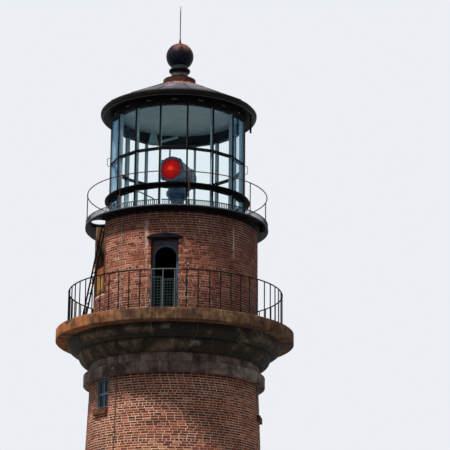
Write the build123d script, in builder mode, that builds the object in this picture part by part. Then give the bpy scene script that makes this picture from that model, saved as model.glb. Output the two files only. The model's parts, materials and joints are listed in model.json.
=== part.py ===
from build123d import *
from math import cos, pi, radians, sin, tan
import os

os.makedirs("parts", exist_ok=True)

# Brick lighthouse on its own base. Millimetres, +Z up, origin at the centre of the base on the ground.
# Bearings are degrees from the front (-Y), positive towards +X.

# Stone base and brick shaft
foundation_height = 300
foundation_step = 90
shaft_base_radius = 2435
shaft_top_radius = 2238
shaft_bore_radius = 1750
shaft_segments = 4
shaft_first_bearing = -35

# Brownstone courses over the shaft, from the bottom up
belt_bottom_height = 5722
belt_height = 282
belt_radius = 2416
frieze_height = 246
frieze_radius = 2262
lower_ovolo_height = 340
lower_ovolo_radius = 2565
upper_ovolo_height = 314
upper_ovolo_radius = 2869
ovolo_lip = 45
ovolo_foot = 35
deck_thickness = 296
deck_radius = 3184
deck_edge_chamfer = 12
floor_ledge = 100

# Windows of the shaft
window_width = 590
window_height = 790
window_bearings = (-55.5, 81, 171)
window_sill_height = 150
window_sill_overhang = 60
window_sill_side = 10
window_setback = 95
sash_thickness = 60
sash_bar = 60
sash_muntin = 28
window_glass = 6

# Entrance at the back of the shaft
entrance_bearing = 171
entrance_width = 900
entrance_height = 2100
entrance_setback = 260
entrance_frame = 80
entrance_frame_depth = 110
entrance_leaf = 55
step_tread = 340
step_rise = 150
step_width = 1300

# Watch room over the deck
watch_radius = 2203
watch_bore_radius = 1800
watch_wall_height = 2800
watch_segments = 4
doorway_bearing = -8
doorway_width = 730
doorway_height = 2080
doorway_setback = 210
lintel_overhang = 105
lintel_projection = 55
lintel_height = 125
lintel_rise = 105
lintel_bearing_depth = 130
door_frame_bar = 82
door_ring_width = 41
door_panel_recess = 25
door_head_bar_height = 73
door_head_bar_below = 55
door_head_bar_inset = 45
door_frame_depth = 90
door_head_height = 185
guard_left_width = 305
guard_left_height = 1063
guard_right_height = 1000
guard_bar = 24
guard_pitch = 75
guard_setback = 60
guard_wire = 12
hatch_opening_bearing = -68
hatch_opening_width = 760
hatch_opening_sill = 830
hatch_frame = 70
hatch_frame_depth = 240
hatch_panel_height = 700
hatch_panel_thickness = 45
hatch_setback = 15
hatch_panel_setback = 60

# Main gallery railing
railing_radius = 2875
railing_height = 1085
railing_rail = 36
baluster = 30
balusters = 60
baluster_phase = -0.6
railing_panels = 4
railing_joint = 6

# Lantern gallery
support_ring_height = 62
support_ring_radius = 2330
plate_thickness = 48
plate_radius = 2494
plate_hatch_bearing = -72.4
plate_hatch_diameter = 450
plate_hatch_inset = 29
plate_recess_inset = 353
plate_recess_overhang = 237
plate_recess_depth = 36
toe_height = 139
toe_bar_depth = 10
toe_bar_width = 20
toe_bars = 36
toe_rail_height = 26
toe_inset = 8
toe_joint = 6
toe_gap_bearing = -10.6
toe_gap = 80
gallery_rail_radius = 2456
gallery_rail_height = 922
gallery_rail = 28
gallery_posts = 8
gallery_post_bearing = 6.9

# Ladder from the hatch down to the deck
ladder_bearing = -66.2
ladder_lean_bearing = -72
ladder_lean = 523
ladder_head_inset = 94
ladder_width = 420
ladder_rail = 42
ladder_rung = 24
ladder_pitch = 290

# Sixteen-sided lantern
lantern_sides = 16
mullion_bearing = 7.3
lantern_radius = 1875
mullion_cap_width = 45
mullion_cap = 22
mullion_web = 16
mullion_depth = 145
sill_height = 120
glass_thickness = 10
glass_setback = 6
ledge_above_plate = 764
ledge_thickness = 27
ledge_projection = 112
ledge_web_height = 90
bar_above_plate = 1794
bar_height = 50
head_above_plate = 2995
head_height = 280
head_depth = 60
head_vent_width = 140
head_vent_height = 40
head_vent_depth = 25
head_vent_above = 135
handholds = 4
handhold_height = 235
handhold_reach = 75
handhold_wire = 16
handhold_bend = 40
handhold_below_bar = 35

# Roof, gutter and ventilator
eaves_radius = 2165
gutter_height = 125
gutter_lip = 25
gutter_undercut = 65
gutter_soffit_drop = 40
gutter_top_rise = 60
gutter_wall = 30
roof_foot_setback = 45
roof_foot_rise = 20
roof_apex_radius = 400
roof_rise = 858
roof_thickness = 30
roof_seams = 16
roof_seam_width = 20
roof_seam_height = 14
ceiling_inset = 90
ceiling_thickness = 18
spout_bearing = 75
spout_drop = 582
spout_diameter = 55
spout_wall = 5
vent_wall = 12
vent_cap = 40
vent_disc_radius = 453
vent_disc_height = 135
vent_shoulder_height = 94
vent_neck_radius = 236
vent_neck_height = 150
vent_collar_radius = 268
vent_collar_height = 88
vent_collar_bulge = 30
ball_radius = 383
ball_lift = 10
ball_cup_radius = 233
ball_cup_bore = 150
rod_seat = 12
rod_socket_radius = 40
rod_socket_height = 172
rod_diameter = 26
rod_length = 840
tine_length = 150
tine_diameter = 10
tine_lean = 11

# Rotating beacon in the lantern
beacon_bearing = -20
beacon_height = 1580
drum_diameter = 690
drum_length = 1080
drum_wall = 14
lens_diameter = 580
lens_sagitta = 70
lens_thickness = 16
lens_ring_length = 70
drum_band = 14
drum_hoops = 2
drum_hoop_width = 34
latches = 4
latch_size = 60
latch_height = 24
turntable_diameter = 520
turntable_height = 90
yoke_width = 420
yoke_depth = 300
yoke_height = 60
turning_clearance = 8
bearing_diameter = 220
spindle_diameter = 90
spindle_height = 60
spindle_clearance = 0.3
pedestal_foot_diameter = 620
pedestal_foot_thickness = 40
pedestal_diameter = 360
pedestal_head_diameter = 620
pedestal_head_height = 260
pedestal_rim_height = 90

# Small fittings
conductor_bearing = -40.7
conductor_width = 26
conductor_thickness = 10
lamp_bearing = 72
lamp_diameter = 170
lamp_height = 190
lamp_radius = 2420
lamp_base_diameter = 120
lamp_base_height = 50
lamp_round = 45
handrail_diameter = 34
handrail_foot = (-630, 0)
handrail_head = (-1150, 0)
handrail_low = 870
handrail_high = 1125
handrail_bend = 90
shade_centre = (-700, 600)
shade_top_diameter = 120
shade_bottom_diameter = 290
shade_height = 385
shade_wall = 4
shade_drop = 225
tube_start = (-490, 600)
tube_end = (-25, 600)
tube_diameter = 70
tube_start_drop = 540
tube_end_drop = 400
hanger_diameter = 14

# Levels worked out from the dimensions above
frieze_bottom = belt_bottom_height + belt_height
lower_ovolo_bottom = frieze_bottom + frieze_height
upper_ovolo_bottom = lower_ovolo_bottom + lower_ovolo_height
deck_bottom = upper_ovolo_bottom + upper_ovolo_height
deck_top = deck_bottom + deck_thickness
watch_top = deck_top + watch_wall_height
plate_bottom = watch_top + support_ring_height
plate_top = plate_bottom + plate_thickness
ledge_top = plate_top + ledge_above_plate
bar_bottom = plate_top + bar_above_plate - bar_height
head_bottom = plate_top + head_above_plate
head_top = head_bottom + head_height
roof_foot = head_top + roof_thickness
eaves_bottom = roof_foot - roof_foot_rise - gutter_height
beacon_axis = plate_top + beacon_height


def facing(bearing, radius, height):
    """Plane on the round wall: x to the right, y up, z straight out of the wall."""
    a = radians(bearing)
    return Plane(
        origin=(radius * sin(a), -radius * cos(a), height),
        x_dir=(cos(a), sin(a), 0),
        z_dir=(sin(a), -cos(a), 0),
    )


def upright(bearing):
    """Plane through the axis whose x points outwards at a bearing and whose y is up."""
    a = radians(bearing)
    return Plane(origin=(0, 0, 0), x_dir=(sin(a), -cos(a), 0), z_dir=(-cos(a), -sin(a), 0))


def shaft_radius_at(height):
    """Radius of the tapering brick face at a height."""
    share = (height - foundation_height) / (belt_bottom_height - foundation_height)
    return shaft_base_radius + (shaft_top_radius - shaft_base_radius) * share


# Foundation course with the ground floor inside it
with BuildPart() as foundation_course:
    with BuildSketch():
        Circle(shaft_base_radius + foundation_step)
    extrude(amount=foundation_height)
    chamfer(foundation_course.edges().group_by(Axis.Z)[-1], foundation_step / 2)
foundation_course.part.label = "foundation_course"
export_step(foundation_course.part, "parts/foundation_course.step")

# Brick shaft in segments, each cut by its window or doorway
window_bottom = belt_bottom_height - window_height
window_middle = window_bottom + window_height / 2
entrance_middle = foundation_height + entrance_height / 2
shaft_span = 360 / shaft_segments
for number in range(shaft_segments):
    middle = shaft_first_bearing + number * shaft_span
    with BuildPart() as shaft_wall:
        with BuildSketch(upright(middle - shaft_span / 2)):
            with BuildLine():
                Polyline(
                    (shaft_bore_radius, foundation_height),
                    (shaft_base_radius, foundation_height),
                    (shaft_top_radius, belt_bottom_height),
                    (shaft_bore_radius, belt_bottom_height),
                    close=True,
                )
            make_face()
        revolve(axis=Axis.Z, revolution_arc=shaft_span)
        for bearing in window_bearings:
            if abs((bearing - middle + 180) % 360 - 180) < shaft_span / 2:
                with BuildSketch(facing(bearing, shaft_bore_radius / 2, window_middle)):
                    Rectangle(window_width, window_height)
                extrude(amount=shaft_base_radius, mode=Mode.SUBTRACT)
        if abs((entrance_bearing - middle + 180) % 360 - 180) < shaft_span / 2:
            with BuildSketch(facing(entrance_bearing, shaft_bore_radius / 2, entrance_middle)):
                Rectangle(entrance_width, entrance_height)
            extrude(amount=shaft_base_radius, mode=Mode.SUBTRACT)
    shaft_wall.part.label = f"shaft_wall_{number + 1}"
    export_step(shaft_wall.part, f"parts/{shaft_wall.part.label}.step")

# Window frames, glass and stone sills, one set at each window
window_plane_radius = shaft_radius_at(window_bottom) - window_setback
light_width = (window_width - 2 * sash_bar - sash_muntin) / 2
light_height = (window_height - 3 * sash_bar) / 2
light_pitch = (light_width + sash_muntin, light_height + sash_bar)
with BuildPart() as window_frames:
    for bearing in window_bearings:
        with BuildSketch(facing(bearing, window_plane_radius - sash_thickness, window_middle)):
            Rectangle(window_width, window_height)
            with GridLocations(*light_pitch, 2, 2):
                Rectangle(light_width, light_height, mode=Mode.SUBTRACT)
        extrude(amount=sash_thickness)
window_frames.part.label = "window_frames"
export_step(window_frames.part, "parts/window_frames.step")

glass_plane_radius = window_plane_radius - (sash_thickness + window_glass) / 2
with BuildPart() as window_panes:
    for bearing in window_bearings:
        with BuildSketch(facing(bearing, glass_plane_radius, window_middle)):
            with GridLocations(*light_pitch, 2, 2):
                Rectangle(light_width, light_height)
        extrude(amount=window_glass)
window_panes.part.label = "window_panes"
export_step(window_panes.part, "parts/window_panes.step")

sill_face = shaft_radius_at(window_bottom - window_sill_height)
with BuildPart() as window_sills:
    for bearing in window_bearings:
        with BuildSketch(facing(bearing, 0, window_bottom - window_sill_height / 2)):
            Rectangle(window_width + 2 * window_sill_side, window_sill_height)
        extrude(amount=sill_face + window_sill_overhang)
    with BuildSketch():
        Circle(sill_face)
    extrude(amount=belt_bottom_height, mode=Mode.SUBTRACT)
window_sills.part.label = "window_sills"
export_step(window_sills.part, "parts/window_sills.step")

# Entrance door, frame and step
entrance_radius = shaft_base_radius - entrance_setback
with BuildPart() as entrance_frame_part:
    with BuildSketch(facing(entrance_bearing, entrance_radius - entrance_frame_depth, entrance_middle)):
        Rectangle(entrance_width, entrance_height)
        with Locations((0, -entrance_frame / 2)):
            Rectangle(
                entrance_width - 2 * entrance_frame, entrance_height - entrance_frame, mode=Mode.SUBTRACT
            )
    extrude(amount=entrance_frame_depth)
entrance_frame_part.part.label = "entrance_frame"
export_step(entrance_frame_part.part, "parts/entrance_frame.step")

with BuildPart() as entrance_door:
    with BuildSketch(facing(entrance_bearing, entrance_radius - entrance_frame_depth, entrance_middle)):
        with Locations((0, -entrance_frame / 2)):
            Rectangle(entrance_width - 2 * entrance_frame, entrance_height - entrance_frame)
    extrude(amount=entrance_leaf)
entrance_door.part.label = "entrance_door"
export_step(entrance_door.part, "parts/entrance_door.step")

with BuildPart() as entrance_step:
    with BuildSketch(facing(entrance_bearing, 0, step_rise / 2)):
        Rectangle(step_width, step_rise)
    extrude(amount=shaft_base_radius + foundation_step + step_tread)
    with BuildSketch():
        Circle(shaft_base_radius + foundation_step)
    extrude(amount=foundation_height, mode=Mode.SUBTRACT)
entrance_step.part.label = "entrance_step"
export_step(entrance_step.part, "parts/entrance_step.step")

# Plain belt and frieze courses
with BuildPart() as belt_course:
    with BuildSketch(Plane.XY.offset(belt_bottom_height)):
        Circle(belt_radius)
        Circle(shaft_bore_radius, mode=Mode.SUBTRACT)
    extrude(amount=belt_height)
belt_course.part.label = "belt_course"
export_step(belt_course.part, "parts/belt_course.step")

with BuildPart() as frieze_course:
    with BuildSketch(Plane.XY.offset(frieze_bottom)):
        Circle(frieze_radius)
        Circle(shaft_bore_radius, mode=Mode.SUBTRACT)
    extrude(amount=frieze_height)
frieze_course.part.label = "frieze_course"
export_step(frieze_course.part, "parts/frieze_course.step")

# Two ovolo courses that step out under the deck
ovolos = (
    ("lower_ovolo", lower_ovolo_bottom, lower_ovolo_height, frieze_radius, lower_ovolo_radius),
    ("upper_ovolo", upper_ovolo_bottom, upper_ovolo_height, lower_ovolo_radius, upper_ovolo_radius),
)
for name, bottom, height, inner, outer in ovolos:
    foot_radius = inner + ovolo_foot
    curve_top = bottom + height - ovolo_lip
    with BuildPart() as ovolo:
        with BuildSketch(Plane.XZ):
            with BuildLine():
                Polyline(
                    (outer, curve_top),
                    (outer, bottom + height),
                    (shaft_bore_radius - floor_ledge, bottom + height),
                    (shaft_bore_radius - floor_ledge, bottom),
                    (foot_radius, bottom),
                )
                TangentArc((outer, curve_top), (foot_radius, bottom), tangent=(0, -1))
            make_face()
        revolve(axis=Axis.Z)
    ovolo.part.label = name
    export_step(ovolo.part, f"parts/{ovolo.part.label}.step")

# Stone deck of the main gallery and the watch room floor
with BuildPart() as gallery_deck:
    with BuildSketch(Plane.XY.offset(deck_bottom)):
        Circle(deck_radius)
        Circle(shaft_bore_radius, mode=Mode.SUBTRACT)
    extrude(amount=deck_thickness)
    chamfer(gallery_deck.edges().group_by(Axis.Z)[-1].sort_by(SortBy.LENGTH)[-1], deck_edge_chamfer)
gallery_deck.part.label = "gallery_deck"
export_step(gallery_deck.part, "parts/gallery_deck.step")

with BuildPart() as watch_room_floor:
    with BuildSketch(Plane.XY.offset(deck_bottom)):
        Circle(shaft_bore_radius)
    extrude(amount=deck_thickness)
watch_room_floor.part.label = "watch_room_floor"
export_step(watch_room_floor.part, "parts/watch_room_floor.step")

# Outline of the cambered lintel, shared by its seat in the wall
lintel_bottom = deck_top + doorway_height
lintel_half = doorway_width / 2 + lintel_overhang
lintel_back = facing(doorway_bearing, watch_radius - lintel_bearing_depth, lintel_bottom)
lintel_depth = lintel_bearing_depth + lintel_projection
with BuildSketch(lintel_back) as lintel_outline:
    with BuildLine():
        Polyline((-lintel_half, lintel_height - lintel_rise), (-lintel_half, 0), (lintel_half, 0),
                 (lintel_half, lintel_height - lintel_rise))
        ThreePointArc((-lintel_half, lintel_height - lintel_rise), (0, lintel_height),
                      (lintel_half, lintel_height - lintel_rise))
    make_face()

# Brick watch room in segments, cut by the doorway and the hatch opening
watch_span = 360 / watch_segments
opening_bottom = deck_top + hatch_opening_sill
opening_middle = (opening_bottom + watch_top) / 2
for number in range(watch_segments):
    middle = doorway_bearing + number * watch_span
    with BuildPart() as watch_wall:
        with BuildSketch(upright(middle - watch_span / 2)):
            with Locations(((watch_bore_radius + watch_radius) / 2, deck_top + watch_wall_height / 2)):
                Rectangle(watch_radius - watch_bore_radius, watch_wall_height)
        revolve(axis=Axis.Z, revolution_arc=watch_span)
        if number == 0:
            with BuildSketch(facing(doorway_bearing, watch_bore_radius / 2, deck_top + doorway_height / 2)):
                Rectangle(doorway_width, doorway_height)
            extrude(amount=watch_radius, mode=Mode.SUBTRACT)
            extrude(lintel_outline.sketch, amount=lintel_depth, mode=Mode.SUBTRACT)
        if abs((hatch_opening_bearing - middle + 180) % 360 - 180) < watch_span / 2:
            with BuildSketch(facing(hatch_opening_bearing, watch_bore_radius / 2, opening_middle)):
                Rectangle(hatch_opening_width, watch_top - opening_bottom)
            extrude(amount=watch_radius, mode=Mode.SUBTRACT)
    watch_wall.part.label = f"watch_room_wall_{number + 1}"
    export_step(watch_wall.part, f"parts/{watch_wall.part.label}.step")

with BuildPart() as door_lintel:
    extrude(lintel_outline.sketch, amount=lintel_depth)
door_lintel.part.label = "door_lintel"
export_step(door_lintel.part, "parts/door_lintel.step")

# Arched door frame with a raised ring and head bar, and the mesh guard across the doorway
frame_radius = watch_radius - doorway_setback
arch_radius = doorway_width / 2 - door_frame_bar
arch_spring = doorway_height - door_head_height - arch_radius
frame_plane = facing(doorway_bearing, frame_radius - door_frame_depth, deck_top)
with BuildPart() as gallery_door_frame:
    with BuildSketch(frame_plane):
        with Locations((0, doorway_height / 2)):
            Rectangle(doorway_width, doorway_height)
        with Locations((0, arch_spring)):
            Circle(arch_radius, mode=Mode.SUBTRACT)
        with Locations((0, arch_spring / 2)):
            Rectangle(2 * arch_radius, arch_spring, mode=Mode.SUBTRACT)
    extrude(amount=door_frame_depth - door_panel_recess)
    with BuildSketch(frame_plane):
        for radius, mode in ((arch_radius + door_ring_width, Mode.ADD), (arch_radius, Mode.SUBTRACT)):
            with Locations((0, arch_spring)):
                Circle(radius, mode=mode)
            with Locations((0, arch_spring / 2)):
                Rectangle(2 * radius, arch_spring, mode=mode)
        with Locations((0, doorway_height - door_head_bar_below - door_head_bar_height / 2)):
            Rectangle(doorway_width - 2 * door_head_bar_inset, door_head_bar_height)
    extrude(amount=door_frame_depth)
gallery_door_frame.part.label = "gallery_door_frame"
export_step(gallery_door_frame.part, "parts/gallery_door_frame.step")

with BuildPart() as gallery_door_guard:
    left_edge = -doorway_width / 2
    for left, width, height in (
        (left_edge, guard_left_width, guard_left_height),
        (left_edge + guard_left_width, doorway_width - guard_left_width, guard_right_height),
    ):
        columns = int(width / guard_pitch)
        rows = int(height / guard_pitch)
        with BuildSketch(facing(doorway_bearing, watch_radius - guard_setback, deck_top)):
            with Locations((left + width / 2, height / 2)):
                Rectangle(width, height)
                Rectangle(width - 2 * guard_bar, height - 2 * guard_bar, mode=Mode.SUBTRACT)
                with GridLocations(guard_pitch, 0, columns, 1):
                    Rectangle(guard_wire, height - guard_bar)
                with GridLocations(0, guard_pitch, 1, rows):
                    Rectangle(width - guard_bar, guard_wire)
        extrude(amount=guard_wire)
gallery_door_guard.part.label = "gallery_door_guard"
export_step(gallery_door_guard.part, "parts/gallery_door_guard.step")

# Timber lining and lower panel of the side opening, which is open to the plate's hatch at its top
hatch_plane_radius = watch_radius - hatch_setback
with BuildPart() as side_opening_frame:
    with BuildSketch(facing(hatch_opening_bearing, hatch_plane_radius - hatch_frame_depth, opening_middle)):
        Rectangle(hatch_opening_width, watch_top - opening_bottom)
        with Locations((0, hatch_frame / 2)):
            Rectangle(
                hatch_opening_width - 2 * hatch_frame,
                watch_top - opening_bottom - hatch_frame,
                mode=Mode.SUBTRACT,
            )
    extrude(amount=hatch_frame_depth)
side_opening_frame.part.label = "side_opening_frame"
export_step(side_opening_frame.part, "parts/side_opening_frame.step")

with BuildPart() as side_opening_panel:
    panel_middle = opening_bottom + hatch_frame + hatch_panel_height / 2
    panel_back = watch_radius - hatch_panel_setback - hatch_panel_thickness
    with BuildSketch(facing(hatch_opening_bearing, panel_back, panel_middle)):
        Rectangle(hatch_opening_width - 2 * hatch_frame, hatch_panel_height)
    extrude(amount=hatch_panel_thickness)
side_opening_panel.part.label = "side_opening_panel"
export_step(side_opening_panel.part, "parts/side_opening_panel.step")

# Main gallery railing in panels of balusters under a round top rail
panel_span = 360 / railing_panels
panel_balusters = balusters // railing_panels
baluster_span = 360 / balusters
for number in range(railing_panels):
    start = baluster_phase - baluster_span / 2 + number * panel_span
    joint_angle = railing_joint / railing_radius * 180 / pi
    with BuildPart() as railing:
        with BuildSketch(upright(start + joint_angle / 2)):
            with Locations((railing_radius, deck_top + railing_height - railing_rail / 2)):
                RegularPolygon(railing_rail / 2, 8)
        revolve(axis=Axis.Z, revolution_arc=panel_span - joint_angle)
        with BuildSketch(Plane.XY.offset(deck_top)):
            for index in range(panel_balusters):
                bearing = radians(start + (index + 0.5) * baluster_span)
                with Locations((railing_radius * sin(bearing), -railing_radius * cos(bearing))):
                    RegularPolygon(baluster / 2, 6)
        extrude(amount=railing_height - railing_rail / 2)
    railing.part.label = f"gallery_railing_{number + 1}"
    export_step(railing.part, f"parts/{railing.part.label}.step")

# Lantern gallery: iron ring on the wall, plate with a round hatch, toe grille and rail
with BuildPart() as gallery_support_ring:
    with BuildSketch(Plane.XY.offset(watch_top)):
        Circle(support_ring_radius)
        Circle(watch_bore_radius, mode=Mode.SUBTRACT)
    extrude(amount=support_ring_height)
    with BuildSketch(facing(hatch_opening_bearing, 0, watch_top + support_ring_height / 2)):
        Rectangle(hatch_opening_width, support_ring_height)
    extrude(amount=support_ring_radius, mode=Mode.SUBTRACT)
gallery_support_ring.part.label = "gallery_support_ring"
export_step(gallery_support_ring.part, "parts/gallery_support_ring.step")

with BuildPart() as lantern_gallery_plate:
    with BuildSketch(Plane.XY.offset(plate_bottom)):
        Circle(plate_radius)
    extrude(amount=plate_thickness)
    with BuildSketch(Plane.XY.offset(plate_bottom)):
        with PolarLocations(watch_radius - plate_hatch_inset, 1, start_angle=plate_hatch_bearing - 90):
            Circle(plate_hatch_diameter / 2)
    extrude(amount=plate_thickness, mode=Mode.SUBTRACT)
    recess_plane = facing(hatch_opening_bearing, 0, plate_bottom)
    with BuildSketch(Plane(origin=recess_plane.origin, x_dir=recess_plane.x_dir, z_dir=(0, 0, 1))):
        with Locations((0, -watch_radius - (plate_recess_overhang - plate_recess_inset) / 2)):
            Rectangle(hatch_opening_width, plate_recess_overhang + plate_recess_inset)
    extrude(amount=plate_recess_depth, mode=Mode.SUBTRACT)
lantern_gallery_plate.part.label = "lantern_gallery_plate"
export_step(lantern_gallery_plate.part, "parts/lantern_gallery_plate.step")

# Toe grille in bays between the rail posts, open at the drain gap near the front
toe_radius = plate_radius - toe_inset - toe_bar_depth / 2
toe_joint_angle = toe_joint / toe_radius * 180 / pi
bay_span = 360 / gallery_posts
with BuildPart() as toe_grille:
    for bay in range(gallery_posts):
        with BuildSketch(upright(gallery_post_bearing + bay * bay_span + toe_joint_angle / 2)):
            with Locations((toe_radius, plate_top + toe_height - toe_rail_height / 2)):
                Rectangle(toe_bar_depth, toe_rail_height)
        revolve(axis=Axis.Z, revolution_arc=bay_span - toe_joint_angle)
    with BuildSketch(Plane.XY.offset(plate_top)):
        first_bar = gallery_post_bearing + bay_span / toe_bars / 2 - 90
        with PolarLocations(toe_radius, gallery_posts * toe_bars, start_angle=first_bar):
            Rectangle(toe_bar_depth, toe_bar_width)
    extrude(amount=toe_height - toe_rail_height / 2)
    with BuildSketch(facing(toe_gap_bearing, 0, plate_top + toe_height / 2)):
        Rectangle(toe_gap, toe_height)
    extrude(amount=plate_radius, mode=Mode.SUBTRACT)
toe_grille.part.label = "toe_grille"
export_step(toe_grille.part, "parts/toe_grille.step")

with BuildPart() as lantern_gallery_rail:
    with BuildSketch(Plane.XZ):
        with Locations((gallery_rail_radius, plate_top + gallery_rail_height - gallery_rail / 2)):
            RegularPolygon(gallery_rail / 2, 8)
    revolve(axis=Axis.Z)
    with BuildSketch(Plane.XY.offset(plate_top)):
        with PolarLocations(gallery_rail_radius, gallery_posts, start_angle=gallery_post_bearing - 90):
            RegularPolygon(gallery_rail / 2, 8)
    extrude(amount=gallery_rail_height - gallery_rail / 2)
lantern_gallery_rail.part.label = "lantern_gallery_rail"
export_step(lantern_gallery_rail.part, "parts/lantern_gallery_rail.step")

# Ladder from under the plate's hatch down to the deck, leaning outwards
a = radians(ladder_lean_bearing)
ladder_head = facing(ladder_bearing, watch_radius - ladder_head_inset, plate_bottom).origin
ladder_foot = ladder_head + Vector(ladder_lean * sin(a), -ladder_lean * cos(a), deck_top - ladder_head.Z)
ladder_run = ladder_head - ladder_foot
ladder_plane = Plane(origin=ladder_foot, x_dir=(cos(a), sin(a), 0), z_dir=ladder_run)
with BuildPart() as gallery_ladder:
    with BuildSketch(ladder_plane.offset(-ladder_rail)):
        with GridLocations(ladder_width - ladder_rail, 0, 2, 1):
            Rectangle(ladder_rail / 2, ladder_rail)
    extrude(amount=ladder_run.length)
    for step in range(1, int(ladder_run.length / ladder_pitch)):
        rung_plane = ladder_plane.offset(step * ladder_pitch)
        side_plane = Plane(origin=rung_plane.origin, x_dir=rung_plane.z_dir, z_dir=rung_plane.x_dir)
        with BuildSketch(side_plane):
            RegularPolygon(ladder_rung / 2, 6)
        extrude(amount=ladder_width / 2 - ladder_rail / 2, both=True)
    split(bisect_by=Plane.XY.offset(deck_top), keep=Keep.TOP)
gallery_ladder.part.label = "gallery_ladder"
export_step(gallery_ladder.part, "parts/gallery_ladder.step")

# Lantern mullions, each with an outer cap and a deep web
with BuildPart() as lantern_mullions:
    with BuildSketch(Plane.XY.offset(plate_top)):
        with PolarLocations(0, lantern_sides, start_angle=mullion_bearing - 90):
            with Locations((lantern_radius - mullion_cap / 2, 0)):
                Rectangle(mullion_cap, mullion_cap_width)
            with Locations((lantern_radius - mullion_depth / 2, 0)):
                Rectangle(mullion_depth, mullion_web)
    extrude(amount=head_above_plate)
lantern_mullions.part.label = "lantern_mullions"
export_step(lantern_mullions.part, "parts/lantern_mullions.step")

# Glass, rails and sill span between the webs of neighbouring mullions
side_angle = 360 / lantern_sides
panel_bearings = [mullion_bearing + (index + 0.5) * side_angle for index in range(lantern_sides)]


def between_webs(radius):
    """Clear width of one lantern side at a distance from the axis, face to face with the webs."""
    return 2 * radius * tan(radians(side_angle / 2)) - mullion_web / cos(radians(side_angle / 2))


rail_face = (lantern_radius - mullion_cap) * cos(radians(side_angle / 2))
rail_back = (lantern_radius - mullion_depth) * cos(radians(side_angle / 2))


def side_bars(back, front, clearance=0):
    """Trapezoid bars between the webs on all sides, from one distance to another off the axis."""
    with BuildLine() as outline:
        Polyline(
            (back, clearance - between_webs(back) / 2),
            (front, clearance - between_webs(front) / 2),
            (front, between_webs(front) / 2 - clearance),
            (back, between_webs(back) / 2 - clearance),
            close=True,
        )
    return make_face(outline.line)


rail_outline = side_bars(rail_back, rail_face)
with BuildPart() as lantern_rails:
    for bottom, height in ((plate_top, sill_height), (bar_bottom, bar_height)):
        with BuildSketch(Plane.XY.offset(bottom)):
            with PolarLocations(0, lantern_sides, start_angle=panel_bearings[0] - 90):
                add(rail_outline)
        extrude(amount=height)
lantern_rails.part.label = "lantern_rails"
export_step(lantern_rails.part, "parts/lantern_rails.step")

# Ledge ring that the outer panes stand on, with its deep inner rails
with BuildPart() as lantern_ledge:
    with BuildSketch(Plane.XY.offset(ledge_top - ledge_web_height)):
        with PolarLocations(0, lantern_sides, start_angle=panel_bearings[0] - 90):
            add(rail_outline)
    extrude(amount=ledge_web_height)
    with BuildSketch(Plane.XY.offset(ledge_top - ledge_thickness)):
        Circle(lantern_radius + ledge_projection)
        RegularPolygon(
            rail_face, lantern_sides, major_radius=False, rotation=mullion_bearing - 90, mode=Mode.SUBTRACT
        )
        with PolarLocations(0, lantern_sides, start_angle=mullion_bearing - 90):
            with Locations((lantern_radius - mullion_cap / 2, 0)):
                Rectangle(mullion_cap, mullion_cap_width, mode=Mode.SUBTRACT)
            with Locations((lantern_radius - mullion_depth / 2, 0)):
                Rectangle(mullion_depth, mullion_web, mode=Mode.SUBTRACT)
    extrude(amount=ledge_thickness)
lantern_ledge.part.label = "lantern_ledge"
export_step(lantern_ledge.part, "parts/lantern_ledge.step")

# One tall sheet of glass on each side, in three stretches between the rails
pane_front = rail_face - glass_setback
pane_outline = side_bars(pane_front - glass_thickness, pane_front)
with BuildPart() as lantern_glass:
    stretches = (
        (plate_top + sill_height, ledge_top - ledge_web_height),
        (ledge_top, bar_bottom),
        (bar_bottom + bar_height, head_bottom),
    )
    for bottom, top in stretches:
        with BuildSketch(Plane.XY.offset(bottom)):
            with PolarLocations(0, lantern_sides, start_angle=panel_bearings[0] - 90):
                add(pane_outline)
        extrude(amount=top - bottom)
lantern_glass.part.label = "lantern_glass"
export_step(lantern_glass.part, "parts/lantern_glass.step")

# Bent handholds on the outside of every fourth mullion, across the level of the upper rail
handhold_bottom = bar_bottom - handhold_below_bar
handhold_top = handhold_bottom + handhold_height
with BuildPart() as lantern_handholds:
    for number in range(handholds):
        bearing = mullion_bearing + number * 360 / handholds
        grip_out = lantern_radius + handhold_reach
        with BuildLine(upright(bearing)) as grip_path:
            FilletPolyline(
                (lantern_radius, handhold_bottom),
                (grip_out, handhold_bottom),
                (grip_out, handhold_top),
                (lantern_radius, handhold_top),
                radius=handhold_bend,
            )
        with BuildSketch(facing(bearing, lantern_radius, handhold_bottom)):
            Circle(handhold_wire / 2)
        sweep(path=grip_path.line)
lantern_handholds.part.label = "lantern_handholds"
export_step(lantern_handholds.part, "parts/lantern_handholds.step")

# Head band with a small vent in each side
with BuildPart() as lantern_head:
    with BuildSketch(Plane.XY.offset(head_bottom)):
        RegularPolygon(lantern_radius, lantern_sides, rotation=mullion_bearing - 90)
        Circle(rail_back, mode=Mode.SUBTRACT)
    extrude(amount=head_height)
    for bearing in panel_bearings:
        vent_plane = facing(bearing, rail_face, head_bottom + head_vent_above)
        with BuildSketch(vent_plane.offset(-head_vent_depth)):
            Rectangle(head_vent_width, head_vent_height)
        extrude(amount=head_depth + head_vent_depth, mode=Mode.SUBTRACT)
lantern_head.part.label = "lantern_head"
export_step(lantern_head.part, "parts/lantern_head.step")

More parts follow.
